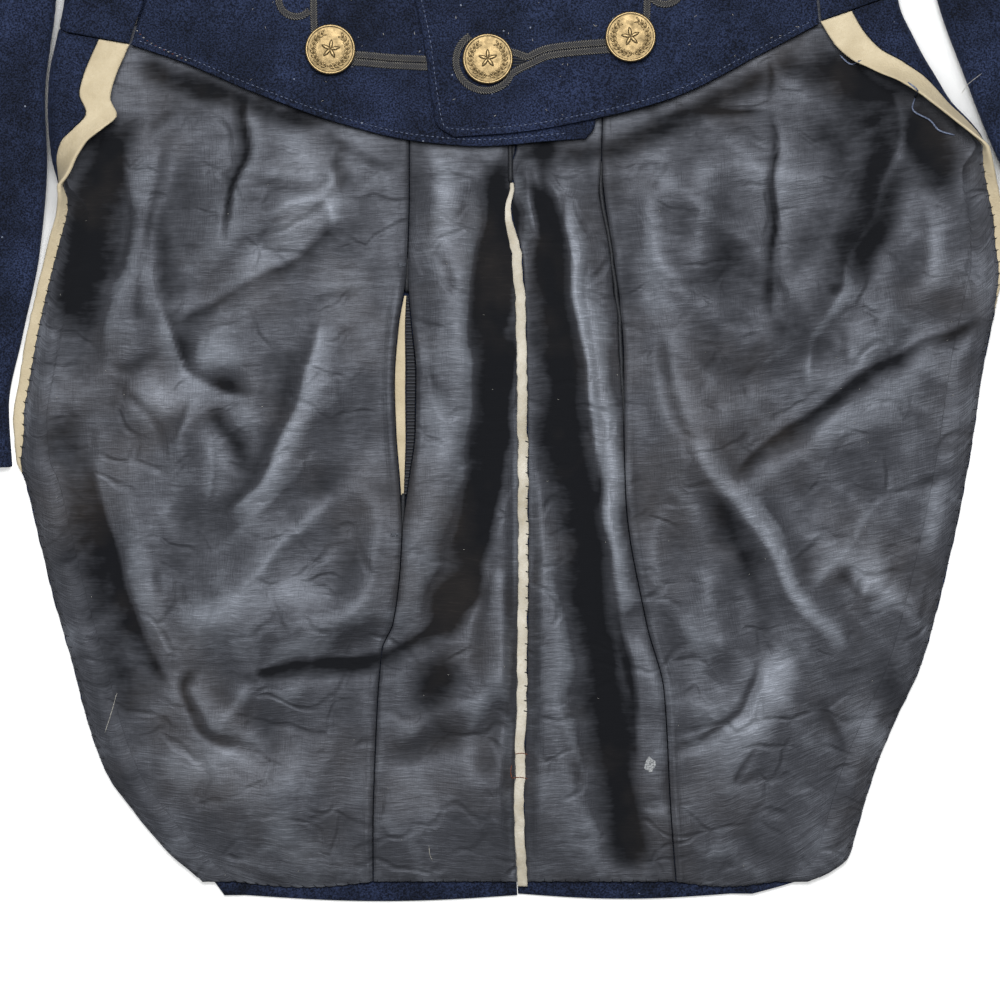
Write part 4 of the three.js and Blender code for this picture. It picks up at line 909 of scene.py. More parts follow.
def makeFrontLining(tail):
    rows = liningRows(tail)
    pocket = lambda y: slit(y).out if tail is rightTail else seamGap / 2 + 0.5 * gape(y)
    inner = lambda y: tail.side * tail.seam(y).x + pocket(y)
    bare = lambda y: tail.bare(y).width
    station, stretch, run = stretchAndRun(tail, rows, np.linspace(0, 1, 96), 10, 5, bare)
    flat = tailPoint(tail, station, inner, stretch, run, 0.0)
    x, y = flat[..., 0], flat[..., 1]
    fromSeam = np.abs(x - x[:, :1])
    steps = np.linalg.norm(np.diff(tailPoint(tail, station, inner, stretch, run, woolThick), axis=1), axis=2)
    fromEdge = np.concatenate([np.cumsum(steps[:, ::-1], axis=1)[:, ::-1], np.zeros((len(rows), 1))], axis=1)
    lift = liningLift(tail, station, x, y, stretch)
    stitched = np.abs(np.sin(np.pi * station / lining["scallop"]))
    held = ramp(0, 9, fromEdge) * lerp(1, 0.75 + 0.25 * stitched, 1 - ramp(0, 4, fromEdge))
    held = held * lerp(0.8, 1, ramp(0, 5, fromSeam))
    tuck = 0.9 * np.exp(-((fromSeam - 2.2) / 1.5) ** 2)  # pressed fold beside the seam
    if tail is rightTail:
        tuck += 1.8 * ramp(0.6, 4, slit(station).out) * np.exp(-((fromSeam - 1.5) / 2.5) ** 2)
    depth = woolThick + lining["under"] + np.maximum(0, (lift + tuck) * held + 0.15)
    over = tailPoint(tail, station, inner, stretch, run, depth + lining["thick"])
    under = tailPoint(tail, station, inner, stretch, run, depth)
    rim = 0.5 * (1 - stitched[:, -1])  # each stitch draws the edge in
    for face in (over, under):
        face[:, -1, 0] -= tail.side * rim
    scallopHem(over, under)
    liningRims[tail.name] = over[:, -1], over[:, -4]
    liningHems[tail.name, "front"] = over[-1], over[-2]
    clothPiece(f"{tail.name}FrontLining", f"lining_{tail.name}_front", over, under, cotton,
               pull=0.25, lips=1)


def makeBackLining(tail):
    rows = liningRows(tail)
    pocket = slit(rows).in_ if tail is rightTail else seamGap / 2 + gape(rows)
    lapped = 1 - ramp(-98, -108, rows)  # above the vent the right lining laps over the left one
    edging = 0.15 + strip * lerp(0.35, 1, clamp01((coat["ventTop"] - rows) / 27))
    margin = edging * ramp(-108, -114, rows) + 3.2 * lapped if tail is leftTail else -0.25 - 2.4 * lapped
    inner = innerEdge(tail)(rows) + margin
    outer = tail.side * tail.seam(rows).x - pocket
    share = np.linspace(0, 1, 36)
    x = tail.side * lerp(inner[:, None], outer[:, None], share[None])
    y = rows[:, None] + 0 * x
    lift = liningLift(tail, y, x, y, 0 * x)
    fromSeam, fromVent = np.abs(x - x[:, -1:]), np.abs(x - x[:, :1])
    tuck = 0.5 * np.exp(-((fromSeam - 2) / 1.5) ** 2)
    if tail is rightTail:
        tuck += 1.6 * ramp(0.6, 4, slit(y).in_) * np.exp(-((fromSeam - 1.5) / 2.5) ** 2)
    held = lerp(0.8, 1, ramp(0, 5, fromSeam)) * ramp(0, 7, fromVent)
    z = woolThick + lining["under"] + np.maximum(0, (lift + tuck) * held + 0.15)
    over, under = point(x, y, z + lining["thick"]), point(x, y, z)
    scallopHem(over, under)
    liningHems[tail.name, "back"] = over[-1], over[-2]
    clothPiece(f"{tail.name}BackLining", f"lining_{tail.name}_back", over, under, cotton,
               pull=0.25, lips=1)


for tail in (rightTail, leftTail):
    makeFrontLining(tail)
    makeBackLining(tail)
print("linings made")


# Vent edging and pocket.
def makeVentEdging():
    rows = np.linspace(coat["ventTop"], -438, 230)
    share = np.linspace(0, 1, 7)
    width = strip * lerp(0.35, 1, clamp01((coat["ventTop"] - rows) / 27))
    x = innerEdge(leftTail)(rows)[:, None] + width[:, None] * share[None]
    crumple = 1 - ramp(-112, -140, rows)
    puckers = np.maximum(ramp(-400, -412, rows) * 0.5, crumple)
    y = rows[:, None] + 0 * x
    z = (3.2 + 0.5 * np.sin(np.pi * share)[None] * (1 - 0.5 * crumple[:, None])
         + 0.25 * softNoise(x, y, 7, 21) + (0.9 * softNoise(x * 1.6, y, 3.2, 22) + 0.5) * puckers[:, None])
    x = x + 0.6 * softNoise(y, x, 5, 23) * crumple[:, None]
    fray = 0.4 * softNoise(y, 0 * x, 2.6, 24) + 0.45 * softNoise(y, 0 * x, 9, 25)
    x = x + fray * (2 * share[None] - 1) ** 2
    over, under = point(x, y, z), point(x, y, woolThick + 0.3 + 0 * z)
    clothPiece("ventEdging", "vent_edging", over, under, ventWool,
               pull=0.6)


def makeSlitStrip(name, node, shareFrom, shareTo, thick, finish):
    rows = np.linspace(-166, -258, 80)
    seamX = rightTail.seam(rows).x
    outer, inner = seamX - slit(rows).out + 0.4, seamX + slit(rows).in_ - 0.4
    share = lerp(shareFrom, shareTo, np.linspace(0, 1, 8))
    x = lerp(outer[:, None], inner[:, None], share[None])
    y = rows[:, None] + 0 * x
    z = woolThick + seamGap + thick + 0.25 * softNoise(x, y, 5, 31)
    clothPiece(name, node, point(x, y, z), point(x, y, woolThick + seamGap + 0 * z), finish,
               pull=0.4)


makeVentEdging()
makeSlitStrip("pocketBag", "pocket_bag", 0, 0.5, 1.2, creamWool)
makeSlitStrip("pocketFacing", "pocket_facing", 0.55, 1, 1.8, twill)
print("vent edging and pocket made")


# Body.
def chestTop(x, y):  # upper face of the body: level at the sides, fuller over the padded chest
    across = np.abs(x - coat["centreX"]) / 190
    chest = ramp(-20, 150, y) * (1 - ramp(250, 345, y))
    return 2 * roll + 3.2 * chest * (1 - ease(across)) + 0.6 * (1 - ease(across * 1.3))


def drape(x, y, seed=41):  # slow unevenness of cloth that lies flat
    return 0.55 * softNoise(x, y, 44, seed) + 0.25 * softNoise(x, y, 19, seed + 1)


def unevenSteps(first, *others):  # runs of evenly spaced places, each with its own spacing
    return np.concatenate([np.linspace(*first), *[np.linspace(*run)[1:] for run in others]])


rightSide = table("y reach seam", (-51, 215, 180.3), (-43, 213, 178), (-30, 210.5, 173.6), (-2, 208, 172.6),
                  (40, 214, 177), (80, 224, 186), (120, 234, 200.5), (150, 240.5, 215), (185, 246.5, 236))
leftSide = table("y reach seam", (-40, 178, 137.2), (-24, 172, 135.6), (-10, 166, 134.5), (10, 164.5, 131.5),
                 (40, 170, 133), (80, 180, 142), (120, 190, 156.5), (150, 196.5, 171), (185, 202.5, 192))
armhole = table("y in_", (185, -1), (190, -1), (200, 9), (212, 17), (230, 25), (262, 32), (305, 28),
                (340, 15.3))


def armholeX(side, y):
    return coat["centreX"] + side * (coat["chestHalf"] - armhole(y).in_)


def makeSide(name, node, side, outline, foot, slant):
    s = unevenSteps((0, 1, 8), (1, 2, 11), (2, 3, 16))[None]
    level = np.linspace(foot, 183.4, 90)[:, None] + 0 * s
    s = s + 0 * level
    thick = coat["bodyThick"]

    def face(depth):
        fade = 1 - ramp(0, 50, level - foot)
        rise = lambda x: np.where(s <= 1, (waistY(x) + seamGap / 2 - foot) * fade, 0)
        reach = outline(level + rise(side * (outline(level).reach - coat["backSeamIn"]))).reach
        seam = outline(level - slant * fade).seam
        flap = reach - roll - seam - seamGap
        row = SimpleNamespace(reach=reach, curl=roll, turn=180.0 + 0 * reach, flap=flap)
        out, z = wrapPoint(row, reach - coat["backSeamIn"], s, (flap - 0.1) * clamp01(s - 2), depth)
        fall = slant * clamp01((s - 1.5) / 1.5) * fade
        return point(side * out, level - fall + rise(side * out), z)

    clothPiece(name, node, face(0.0), face(thick), broadcloth)


def makeBack(name, node, side):
    outline, foot = (rightSide, -42.8) if side < 0 else (leftSide, -23.8)
    u = np.linspace(0, 1, 26)[None]
    level = np.linspace(foot, 340, 120)[:, None] + 0 * u
    outer = np.where(level <= 185, side * (outline(level).reach - coat["backSeamIn"] - 2 * seamGap),
                     armholeX(side, level) - side * 2 * seamGap)
    share = (level - foot) / (340 - foot)
    middle = lerp(waistY(-8) + seamGap / 2, 397, share)
    centreBack = lerp(-8, coat["centreX"], clamp01((middle + 33) / 430))
    x = lerp(centreBack + side * seamGap / 2, outer, u)
    y = lerp(lerp(middle, level, u), backTopY(x), ramp(0.9, 1, share))
    y = lerp(waistY(x) + seamGap / 2, y, ramp(0, 0.03, share))
    clothPiece(name, node, point(x, y, coat["backThick"]), point(x, y, 0.0),
               broadcloth)


rightRibs = table("rib ox oy ix iy hem", (0, -180, -50.8, 29.4, -94, 1), (1, 0, -45, 33.5, -88, 0.85),
                  (2, 0, -30, 34.5, -68, 0.5), (3, 0, -2, 34, -38, 0.15), (4, 0, 40, 31, 10, 0),
                  (5, 0, 80, 28, 60, 0), (6, 0, 130, 24, 115, 0), (7, 0, 184, 20, 168, 0),
                  (8, 0, 195, 18, 194, 0), (9, 0, 218, 14, 232, 0), (10, 0, 262, 9, 280, 0),
                  (11, 0, 297, 4, 323.8, 0),
                  (12, 0, 322, -44, 327.7, 0), (13, 0, 334, -76, 354.5, 0), (14, 0, 339, -97.4, 384, 0))
leftRibs = table("rib ox oy ix iy hem", (0, 136.8, -40.6, -31.3, -93.6, 1), (1, 0, -36, -39, -88, 0.9),
                 (2, 0, -28, -41.5, -76, 0.6), (3, 0, -2, -45, -50, 0.2), (4, 0, 40, -55, 5, 0),
                 (5, 0, 80, -56, 60, 0), (6, 0, 130, -55, 115, 0), (7, 0, 184, -52, 168, 0),
                 (8, 0, 195, -50, 194, 0), (9, 0, 218, -47, 232, 0), (10, 0, 262, -43, 280, 0),
                 (11, 0, 297, -40, 323.8, 0),
                 (12, 0, 322, 0, 327.7, 0), (13, 0, 334, 32, 354.5, 0), (14, 0, 339, 53.4, 384, 0))


def onLap(x):  # how far the left front still lies over the right one
    return 1 - ramp(38, 112, x)


def frontTop(side, x, y):
    lapped = (coat["lapThick"] + seamGap) * onLap(x) if side > 0 else 0
    return chestTop(x, y) + lapped + drape(x, y)


def frontRows(side):
    return (rightRibs, rightHem, rightSide) if side < 0 else (leftRibs, leftHem, leftSide)


def frontPoint(side, rib, u):  # place on a front, by rib from the hem to the shoulder and across
    ribs, hem, sideSeam = frontRows(side)
    row, first = ribs(rib), ribs(0)
    seamX = np.where(row.oy < 185, side * sideSeam(row.oy).seam, armholeX(side, row.oy)) - side * 2 * seamGap
    ox = lerp(first.ox, seamX, clamp01(rib * 4))
    iy = np.where(row.iy > 322, neckFrontY(row.ix) - 0.9, row.iy)
    x = lerp(ox - side * 0.15, row.ix, u)
    share = clamp01((x - first.ox) / (first.ix - first.ox))
    return x, lerp(row.oy, iy, u) + row.hem * (hem(x).y - lerp(first.oy, first.iy, share))


def makeFront(name, node, side):
    u = np.linspace(0, 1, 90)[None]
    rib = unevenSteps((0, 3, 50), (3, 13, 110), (13, 14, 16))[:, None] + 0 * u
    u = u + 0 * rib
    x, y = frontPoint(side, rib, u)
    top = frontTop(side, x, y)
    stand = coat["bodyThick"] + seamGap
    turn = clamp01(rib - 13) * clamp01(5 * (1 - u) + 0.15) * (np.pi / 2)  # down over the shoulder
    thick = coat["bodyThick"]
    over = point(x, y, stand + (top - stand) * np.cos(turn))
    under = point(x, y - thick * np.sin(turn), stand + (top - thick - stand) * np.cos(turn))
    clothPiece(name, node, over, under, broadcloth, pull=1.0)


rightSleeve = table("rib ix iy ox oy curve", (0, -249, 190, -232.9, 341, 1), (1, -249, 165, -268, 330, 0.6),
                    (2, -245, 138, -305, 302, 0.25), (3, -239, 108, -340, 252, 0),
                    (4, -229, 72, -366, 188, 0), (5, -219, 35, -384, 118, 0),
                    (6, -213, 0, -393, 48, 0), (7, -214.5, -32, -396, -14, 0),
                    (8, -219.5, -75, -394, -72, 0), (9, -218.5, -106, -389, -112, 0),
                    (10, -221.8, -146, -382, -152, 0), (11, -229.6, -184, -375, -188, 0),
                    (12, -236, -217, -370, -220, 0), (13, -234.4, -245, -365, -249, 0))
leftSleeve = table("rib ix iy ox oy curve", (0, 205, 190, 188.9, 341, 1), (1, 205, 165, 224, 330, 0.6),
                   (2, 201, 138, 262, 302, 0.25), (3, 196, 106, 297, 252, 0), (4, 190.5, 70, 322, 192, 0),
                   (5, 186, 33, 341, 132, 0), (6, 185, 0, 354, 76, 0), (7, 191, -30, 364, 28, 0),
                   (8, 203.5, -65, 373, -15, 0), (9, 214.5, -93, 380, -52, 0), (10, 226, -119, 386, -85, 0),
                   (11, 241, -154, 391, -118, 0), (12, 256, -193, 395, -150, 0),
                   (13, 272, -234, 396, -187, 0))
sleeve = {
    "ribs": 170,
    "creases": 1.5,  # depth of the small bends
    "ridges": [(2.2, 0.35, 0.45, 0.9, 2.6), (5, 0.7, 0.35, 1.1, 2.2),
               (6.8, 0.3, 0.4, 0.8, 2.6), (9.6, 0.6, 0.3, 1.8, 2)],
}


def makeSleeve(name, side, ribs):
    s = unevenSteps((0, 1, 9), (1, 2, 48), (2, 3, 9))[None]
    rib = np.linspace(0, 13, sleeve["ribs"])[:, None] + 0 * s
    s = s + 0 * rib
    row = ribs(rib)
    span = np.hypot(row.ox - row.ix, row.oy - row.iy)
    first = ribs(0)

    def place(distance):
        share = distance / span
        hollow = armholeX(side, lerp(first.iy, first.oy, share)) - lerp(first.ix, first.ox, share)
        y = lerp(row.iy, row.oy, share)
        bow = row.curve * (hollow + side * 3 * seamGap) * ramp(188, 204, y)
        return lerp(row.ix, row.ox, share) + bow, y

    def topFace(depth):
        across = clamp01(s - 1)
        angle = np.pi * (clamp01(s) + clamp01(s - 2))
        radius = roll - depth
        x, y = place(lerp(roll, span - roll, across) - radius * np.sin(angle))
        inside = ramp(0, 0.14, across) * ramp(1, 0.86, across)
        lift = 1.6 * np.sin(np.pi * across)
        for at, where, wide, down, height in sleeve["ridges"]:
            lift = lift + height * (1 - ease(np.hypot((rib - at) / down, (across - where) / wide)))
        bend = softNoise(rib * 9 + 18 * across, across * 46, 8, 61 if side < 0 else 62)
        lift = lift + sleeve["creases"] * (0.5 * bend + 0.35 * softNoise(x, y, 15, 63))
        return point(x, y, roll - radius * np.cos(angle) + lift * inside)

    clothPiece(f"{name}TopSleeve", f"top_sleeve_{name}", topFace(0.0), topFace(coat["bodyThick"]),
               broadcloth)
    u = np.linspace(0, 1, 40)[None] + 0 * rib[:, :1]
    rib, s = rib[:, :1] + 0 * u, 0 * u
    row = ribs(rib)
    span = np.hypot(row.ox - row.ix, row.oy - row.iy)
    inset = roll + 2 * seamGap + 2 * row.curve
    x, y = place(lerp(inset, span - inset, u))
    clothPiece(f"{name}UnderSleeve", f"under_sleeve_{name}", point(x, y, coat["backThick"]),
               point(x, y, 0.0), broadcloth)


def makeCollar():
    v = np.linspace(0, 1, 24)[:, None]
    angle = np.linspace(0.008, 2 * np.pi - 0.008, 190)[None] + 0 * v
    v = v + 0 * angle
    power = lambda value, p: np.sign(value) * np.abs(value) ** p

    def face(depth):
        half = coat["neckHalf"] - 3 * v
        x = coat["centreX"] - (half - depth) * power(np.sin(angle), 0.8)
        z = 6.25 + (6.25 - depth) * power(np.cos(angle), 0.55)
        front = ramp(-0.25, 0.25, np.cos(angle))
        foot = lerp(backTopY(x) + seamGap, neckFrontY(x) + seamGap, front)
        return point(x, foot + v * lerp(47.5, 46, front), z)

    clothPiece("standingCollar", "collar", face(0.0), face(coat["lapThick"]), broadcloth)


makeSide("rightSideBody", "side_body_right", -1, rightSide, -42.8, 7.6)
makeSide("leftSideBody", "side_body_left", 1, leftSide, -23.8, 16)
makeBack("rightBack", "back_right", -1)
makeBack("leftBack", "back_left", 1)
makeFront("rightFront", "front_right", -1)
makeFront("leftFront", "front_left", 1)
makeSleeve("right", -1, rightSleeve)
makeSleeve("left", 1, leftSleeve)
makeCollar()
print("body, sleeves and collar made")


# Braid.
braid = {
    "strand": 3.3,  # width of one of the two strands
    "thick": 1.25,
    "curl": 8.0,
    "loop": 13.6,
    "step": 1.2,  # along a strand
    "sides": 16,
    "rowsApart": 54,
}


def braidStrand(path, side):  # one flat strand with two cores, laid on a front
    p = smoothPath(path, braid["step"])
    along = directions(p)
    angle = np.linspace(0, 2 * np.pi, braid["sides"], endpoint=False)
    w = np.cos(angle) * braid["strand"] / 2
    core = np.sqrt(np.abs(np.sin(2 * np.arccos(np.clip(np.cos(angle), -1, 1))))) * 0.28  # two lobes
    lift = np.sign(np.sin(angle)) * np.abs(np.sin(angle)) ** 0.6 * (0.72 + core)
    z = np.where(np.sin(angle) > 0, lift * braid["thick"] * 0.75, lift * 0.12)
    across = np.stack([-along[:, 1], along[:, 0]], axis=1)
    x = p[:, None, 0] + across[:, None, 0] * w[None]
    y = p[:, None, 1] + across[:, None, 1] * w[None]
    base = frontTop(side, x, y) + 0.15
    points = point(x, y, base + z[None]).reshape(-1, 3)
    n, m = len(p), len(angle)
    run = np.arange(n) * braid["step"]
    return points, ringFaces(n, m), np.stack([np.tile(w, n), np.repeat(run, m)], axis=1)


def arc(x, y, radius, start, end, count):
    angle = np.radians(np.linspace(start, end, count + 1))
    return [(x + radius * math.cos(a), y + radius * math.sin(a)) for a in angle]


def beside(path, gap):  # the same line, moved sideways
    p = smoothPath(path, 4.0)
    return [(px - gap * dy, py + gap * dx) for (px, py), (dx, dy) in zip(p, directions(p))]


def braidPiece(name, node, paths, side):
    piece = makePiece(name, *joined([braidStrand(path, side) for path in paths]), mohair)
    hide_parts(node)


def curlPath(button, side):
    x, y = button
    return arc(x + side * 15.8, y + 23.3, braid["curl"], 90 - side * 230, 90 + side * 90, 14) + [
        (x + side * 7.6, y + 12), (x + side * 6.6, y + 3), (x + side * 4, y - 2)]


lapEdge = table("y x", *[(float(leftRibs(i).iy), float(leftRibs(i).ix)) for i in range(12)])
buttonRows = []
for i in range(7):
    up = braid["rowsApart"] * i
    buttonRows.append(SimpleNamespace(number=i + 1, right=(-87.9 - 4.5 * i, -53.5 + up),
                                      middle=(-15.7 - 0.8 * i, -58 + up), left=(49.7 + 4.5 * i, -48 + up)))
for row in buttonRows:
    half = braid["strand"] / 2 + 0.1
    (rx, ry), (mx, my), (lx, ly) = row.right, row.middle, row.left
    end = float(lapEdge(ry - 6).x) + 4
    bar = [(rx - 3, ry - 3), (rx + 14, ry - 4), (lerp(rx, end, 0.6), ry - 5.3), (end, ry - 6.2)]
    braidPiece(f"rightBraid{row.number}", f"braid_right_{row.number}",
               [curlPath(row.right, -1), beside(bar, half), beside(bar, -half)], -1)
    bar = [(lx + 3, ly - 3), (lx - 12, ly - 4), (mx + 29, my + 3.5), (mx + 19, my - 0.5)]
    lower = beside(bar, half) + arc(mx - 1, my - 0.8, braid["loop"], -24, -238, 12)
    upper = beside(bar, -half) + [(mx + 14, my + 2.5), (mx + 8.5, my + 4)]
    braidPiece(f"leftBraid{row.number}", f"braid_left_{row.number}",
               [curlPath(row.left, 1), lower, upper], 1)
print("braid made")


# Buttons.
button = {
    "radius": 11.6,
    "dome": 1.7,  # height over the rim
    "ring": 7.9,  # radius of the wreath
    "leaves": 10,  # pairs on each spray
    "turns": 48,
}


def blob(at, way, long, wide, high):  # a small leaf- or berry-shaped boss
    steps, sides = 7, 8
    t = np.linspace(0, np.pi, steps)[:, None]
    a = np.linspace(0, 2 * np.pi, sides, endpoint=False)[None]
    along, side = long * np.cos(t) + 0 * a, wide * np.sin(t) ** 1.3 * np.cos(a)
    z = high * np.sin(t) * np.sin(a)
    c, s = math.cos(way), math.sin(way)
    points = point(at[0] + along * c - side * s, at[1] + along * s + side * c, z + 0 * a)
    return points.reshape(-1, 3), ringFaces(steps, sides, False)


def onRing(turn, off=0.0):  # place on the wreath's circle, or beside it
    radius = button["ring"] + off
    return radius * math.cos(turn), radius * math.sin(turn)


def buttonDome(r):
    return 1.55 + button["dome"] * np.sqrt(np.maximum(0, 1 - (r / (button["radius"] * 1.12)) ** 2))


def buttonBody():  # turned from a profile, from the middle of the back to the middle of the dome
    rim, turns = button["radius"], button["turns"]
    profile = [(0.0, 0.15), (7.0, 0.15), (10.0, 0.5), (rim - 0.3, 1.3), (rim, 2.0), (rim - 0.15, 2.55),
               (rim - 0.5, 2.85), (rim - 0.9, 2.85), (rim - 1.2, 2.6)]
    profile += [(r, float(buttonDome(r))) for r in np.linspace(rim - 1.5, 0, 12)]
    profile = np.array(profile)
    angle = np.linspace(0, 2 * np.pi, turns, endpoint=False)
    ring = point(profile[1:-1, :1] * np.cos(angle), profile[1:-1, :1] * np.sin(angle), profile[1:-1, 1:])
    n = len(profile) - 2
    points = np.vstack([ring.reshape(-1, 3), [[0, 0, profile[0, 1]]], [[0, 0, profile[-1, 1]]]])
    back, front = n * turns, n * turns + 1  # the two middle points
    faces = ringFaces(n, turns, False)
    faces += [[i, back, (i + 1) % turns] for i in range(turns)]
    faces += [[(n - 1) * turns + (i + 1) % turns, front, (n - 1) * turns + i] for i in range(turns)]
    relief = np.concatenate([np.full(n * turns, 0.3), [0.2, 0.35]])  # bright where rubbed, dark where grimy
    relief[3 * turns:7 * turns] = 0.85
    relief[7 * turns:8 * turns] = 0.12
    relief[8 * turns:] = 0.5
    return points, faces, relief


def buttonMesh():
    bosses = []
    for side in (-1, 1):  # two laurel sprays, tied below
        for i in range(button["leaves"]):
            turn = math.radians(-90 + side * (13 + 15 * i))
            for tilt, off in ((0.5, 0.75), (-0.5, -0.75)):
                way = turn + side * (math.pi / 2) - side * tilt
                bosses.append(blob(onRing(turn, off), way, 1.35, 0.5, 0.6))
        stem = arc(0, 0, button["ring"], -90 + side * 4, -90 + side * 150, 22)
        bosses.append(tube([(x, y, 0) for x, y in stem], 0.22)[:2])
    for i in range(5):  # a plain five-pointed star
        tip = math.radians(90 + 72 * i)
        bosses.append(blob((2.1 * math.cos(tip), 2.1 * math.sin(tip)), tip, 2.5, 1.0, 0.75))
    for turn in (-99, -90, -81):  # berries at the tie
        bosses.append(blob(onRing(math.radians(turn)), 0, 0.5, 0.5, 0.6))
    parts = [buttonBody()]
    for p, faces in bosses:
        z = buttonDome(np.hypot(p[:, 0], p[:, 1])) + p[:, 2] - 0.08
        parts.append((np.column_stack([p[:, 0], p[:, 1], z]), faces, 0.02 + 0.95 * clamp01(p[:, 2] / 0.5)))
    return joined(parts)


buttonPoints, buttonFaces, buttonRelief = buttonMesh()


def makeButton(name, node, at, side, onBraid, turn):
    x, y = at
    around = np.array([frontTop(side, x + r * math.cos(a), y + r * math.sin(a))
                       for r in (0, 8) for a in np.linspace(0, 2 * np.pi, 9)])
    seat = around.max() + (braid["thick"] + 0.2 if onBraid else 0.35)
    c, s = math.cos(turn), math.sin(turn)
    p = buttonPoints
    placed = np.column_stack([x + p[:, 0] * c - p[:, 1] * s, y + p[:, 0] * s + p[:, 1] * c, seat + p[:, 2]])
    piece = makePiece(name, placed, buttonFaces, p[:, :2], gilt, buttonRelief)
    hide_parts(node)


turns = np.random.default_rng(71).uniform(-0.3, 0.3, 3 * len(buttonRows))  # none sits quite straight
for row in buttonRows:
    n = row.number
    makeButton(f"rightButton{n}", f"button_right_{n}", row.right, -1, True, turns[3 * n - 3])
    makeButton(f"middleButton{n}", f"button_middle_{n}", row.middle, 1, False, turns[3 * n - 2])
    makeButton(f"leftButton{n}", f"button_left_{n}", row.left, 1, True, turns[3 * n - 1])
print("buttons made")


# Stitching and threads.
stitching = {
    "long": 1.7,  # of a top-stitch
    "apart": 2.45,
    "inset": 3.0,  # from the edge of a front
    "fine": 0.16,  # thread radius
    "path": 0.1,  # step along the line that stitches follow
}
frontLinings = ["rightFrontLining", "leftFrontLining"]
backLinings = ["rightBackLining", "leftBackLining"]


def surfaceOf(*names):  # height of the cloth under a place, looking down on these pieces
    trees = []
    for name in names:
        mesh = bpy.data.objects[name].data
        points = [v.co * 1000 for v in mesh.vertices]
        faces = [p.vertices for p in mesh.polygons]
        trees.append(mathutils.bvhtree.BVHTree.FromPolygons(points, faces))

    def height(x, y):
        hits = [tree.ray_cast((x, y, 60.0), (0, 0, -1))[0] for tree in trees]
        return max([hit[2] for hit in hits if hit is not None], default=None)
    return height


def laidThread(path, height, above=0.1, step=1.0, arch=0.0):  # a thread resting on the cloth
    p = smoothPath(path, step)
    share = np.linspace(0, 1, len(p))
    laid = [(x, y, height(x, y)) for x, y in p]
    return [(x, y, z + above + arch * math.sin(math.pi * s))
            for (x, y, z), s in zip(laid, share) if z is not None]


def stitchRow(path, height, long, apart, stagger=0.0):  # single stitches, dipping into the cloth at both ends
    step = stitching["path"]
    p = smoothPath(path, step)
    along, reach = directions(p), int(long / step)
    stitches = []
    for i in range(0, len(p) - reach - 1, max(1, int(apart / step))):
        a, b = p[i], p[i + reach]
        off = stagger * np.array([-along[i][1], along[i][0]])
        ends = [a - off, (a + b) / 2, b + off]
        z = [height(*e) for e in ends]
        if None not in z:
            stitches.append([(*ends[0], z[0] - 0.12), (*ends[1], max(z) + 0.12), (*ends[2], z[2] - 0.12)])
    return stitches


def addThreads(name, paths, radius, finish, sides=5):  # many threads as one piece
    makePiece(name, *joined([tube(path, radius, sides) for path in paths if len(path) > 1]), finish)


onFronts = surfaceOf("rightFront", "leftFront")
onLining = surfaceOf(*frontLinings, *backLinings)
onVent = surfaceOf("ventEdging", *backLinings)
onBody = surfaceOf("rightFront", "leftFront", "rightSideBody", "leftSideBody", "rightTopSleeve",
                   "leftTopSleeve")
onTails = surfaceOf("rightTailBand", "leftTailBand", "rightTailWool", "leftTailWool", *frontLinings)

inset = stitching["inset"]
edge = [(x, float(leftHem(x).y) + inset) for x in np.arange(132, -30, -6.0)]
edge += [(-32.5, -89.8)]
edge += [(float(leftRibs(r).ix) + inset, float(leftRibs(r).iy)) for r in np.linspace(0.9, 11.5, 60)]
rows = stitchRow(edge, onFronts, stitching["long"], stitching["apart"])
edge = [(x, float(rightHem(x).y) + inset) for x in np.arange(-176, 27, 6.0)]
rows += stitchRow(edge, onFronts, stitching["long"], stitching["apart"])
addThreads("topStitching", rows, stitching["fine"], paleThread)

whips = []  # the lining is whipped to the turned edge and the hem
for name, (rim, inside) in [*liningRims.items(), *[(key[0], value) for key, value in liningHems.items()]]:
    run = np.concatenate([[0], np.cumsum(np.linalg.norm(np.diff(rim, axis=0), axis=1))])
    for at in np.arange(6, run[-1] - 2, lining["scallop"]):
        i = int(np.searchsorted(run, at))
        out = rim[i] - inside[i]
        out = out / max(np.linalg.norm(out), 1e-6)
        a, b = rim[i] - 1.6 * out + (0, 0, 0.15), rim[i] + 0.9 * out + (0, 0.7, -0.25)
        whips.append([tuple(a), tuple(rim[i] + (0, 0.3, 0.3)), tuple(b)])
addThreads("whipStitches", whips, 0.2, blackThread, 4)

basting = stitchRow([(-178.5, -42.5), (-173, -48.5), (-165.5, -52.8), (-152.7, -58.8)], onBody,
                    1.1, 2.3, 0.25)
basting += stitchRow([(-172.5, -27), (-175.3, -35), (-177.6, -42)], onBody, 1.1, 2.1, 0.3)
addThreads("bastingWhite", basting[::2], 0.2, bastingThread)
addThreads("bastingRust", basting[1::2], 0.17, rustThread)

dots = []
chance = np.random.default_rng(5)
y = -233.0
while y > -362:
    x = float(ventLine(y).x) + strip - 0.5
    dots.append(laidThread([(x - 0.6, y), (x + 0.2, y - 0.2), (x + 1.0, y - 0.5)], onVent, 0.18, 0.4))
    y -= chance.uniform(4.6, 7.8)
addThreads("ventStitches", dots, 0.28, blackThread)
crossed = [laidThread([(-3.2, -377), (0.2, -376.6), (2.6, -377.3)], onVent, 0.2, 0.6),
           laidThread([(-4.6, -388.2), (-1, -387.7), (2.6, -388.4)], onVent, 0.2, 0.6),
           laidThread([(-4.6, -388.2), (-5.2, -385), (-4.7, -382.2)], onVent, 0.2, 0.6)]
addThreads("ventRepair", crossed, 0.2, rustThread)

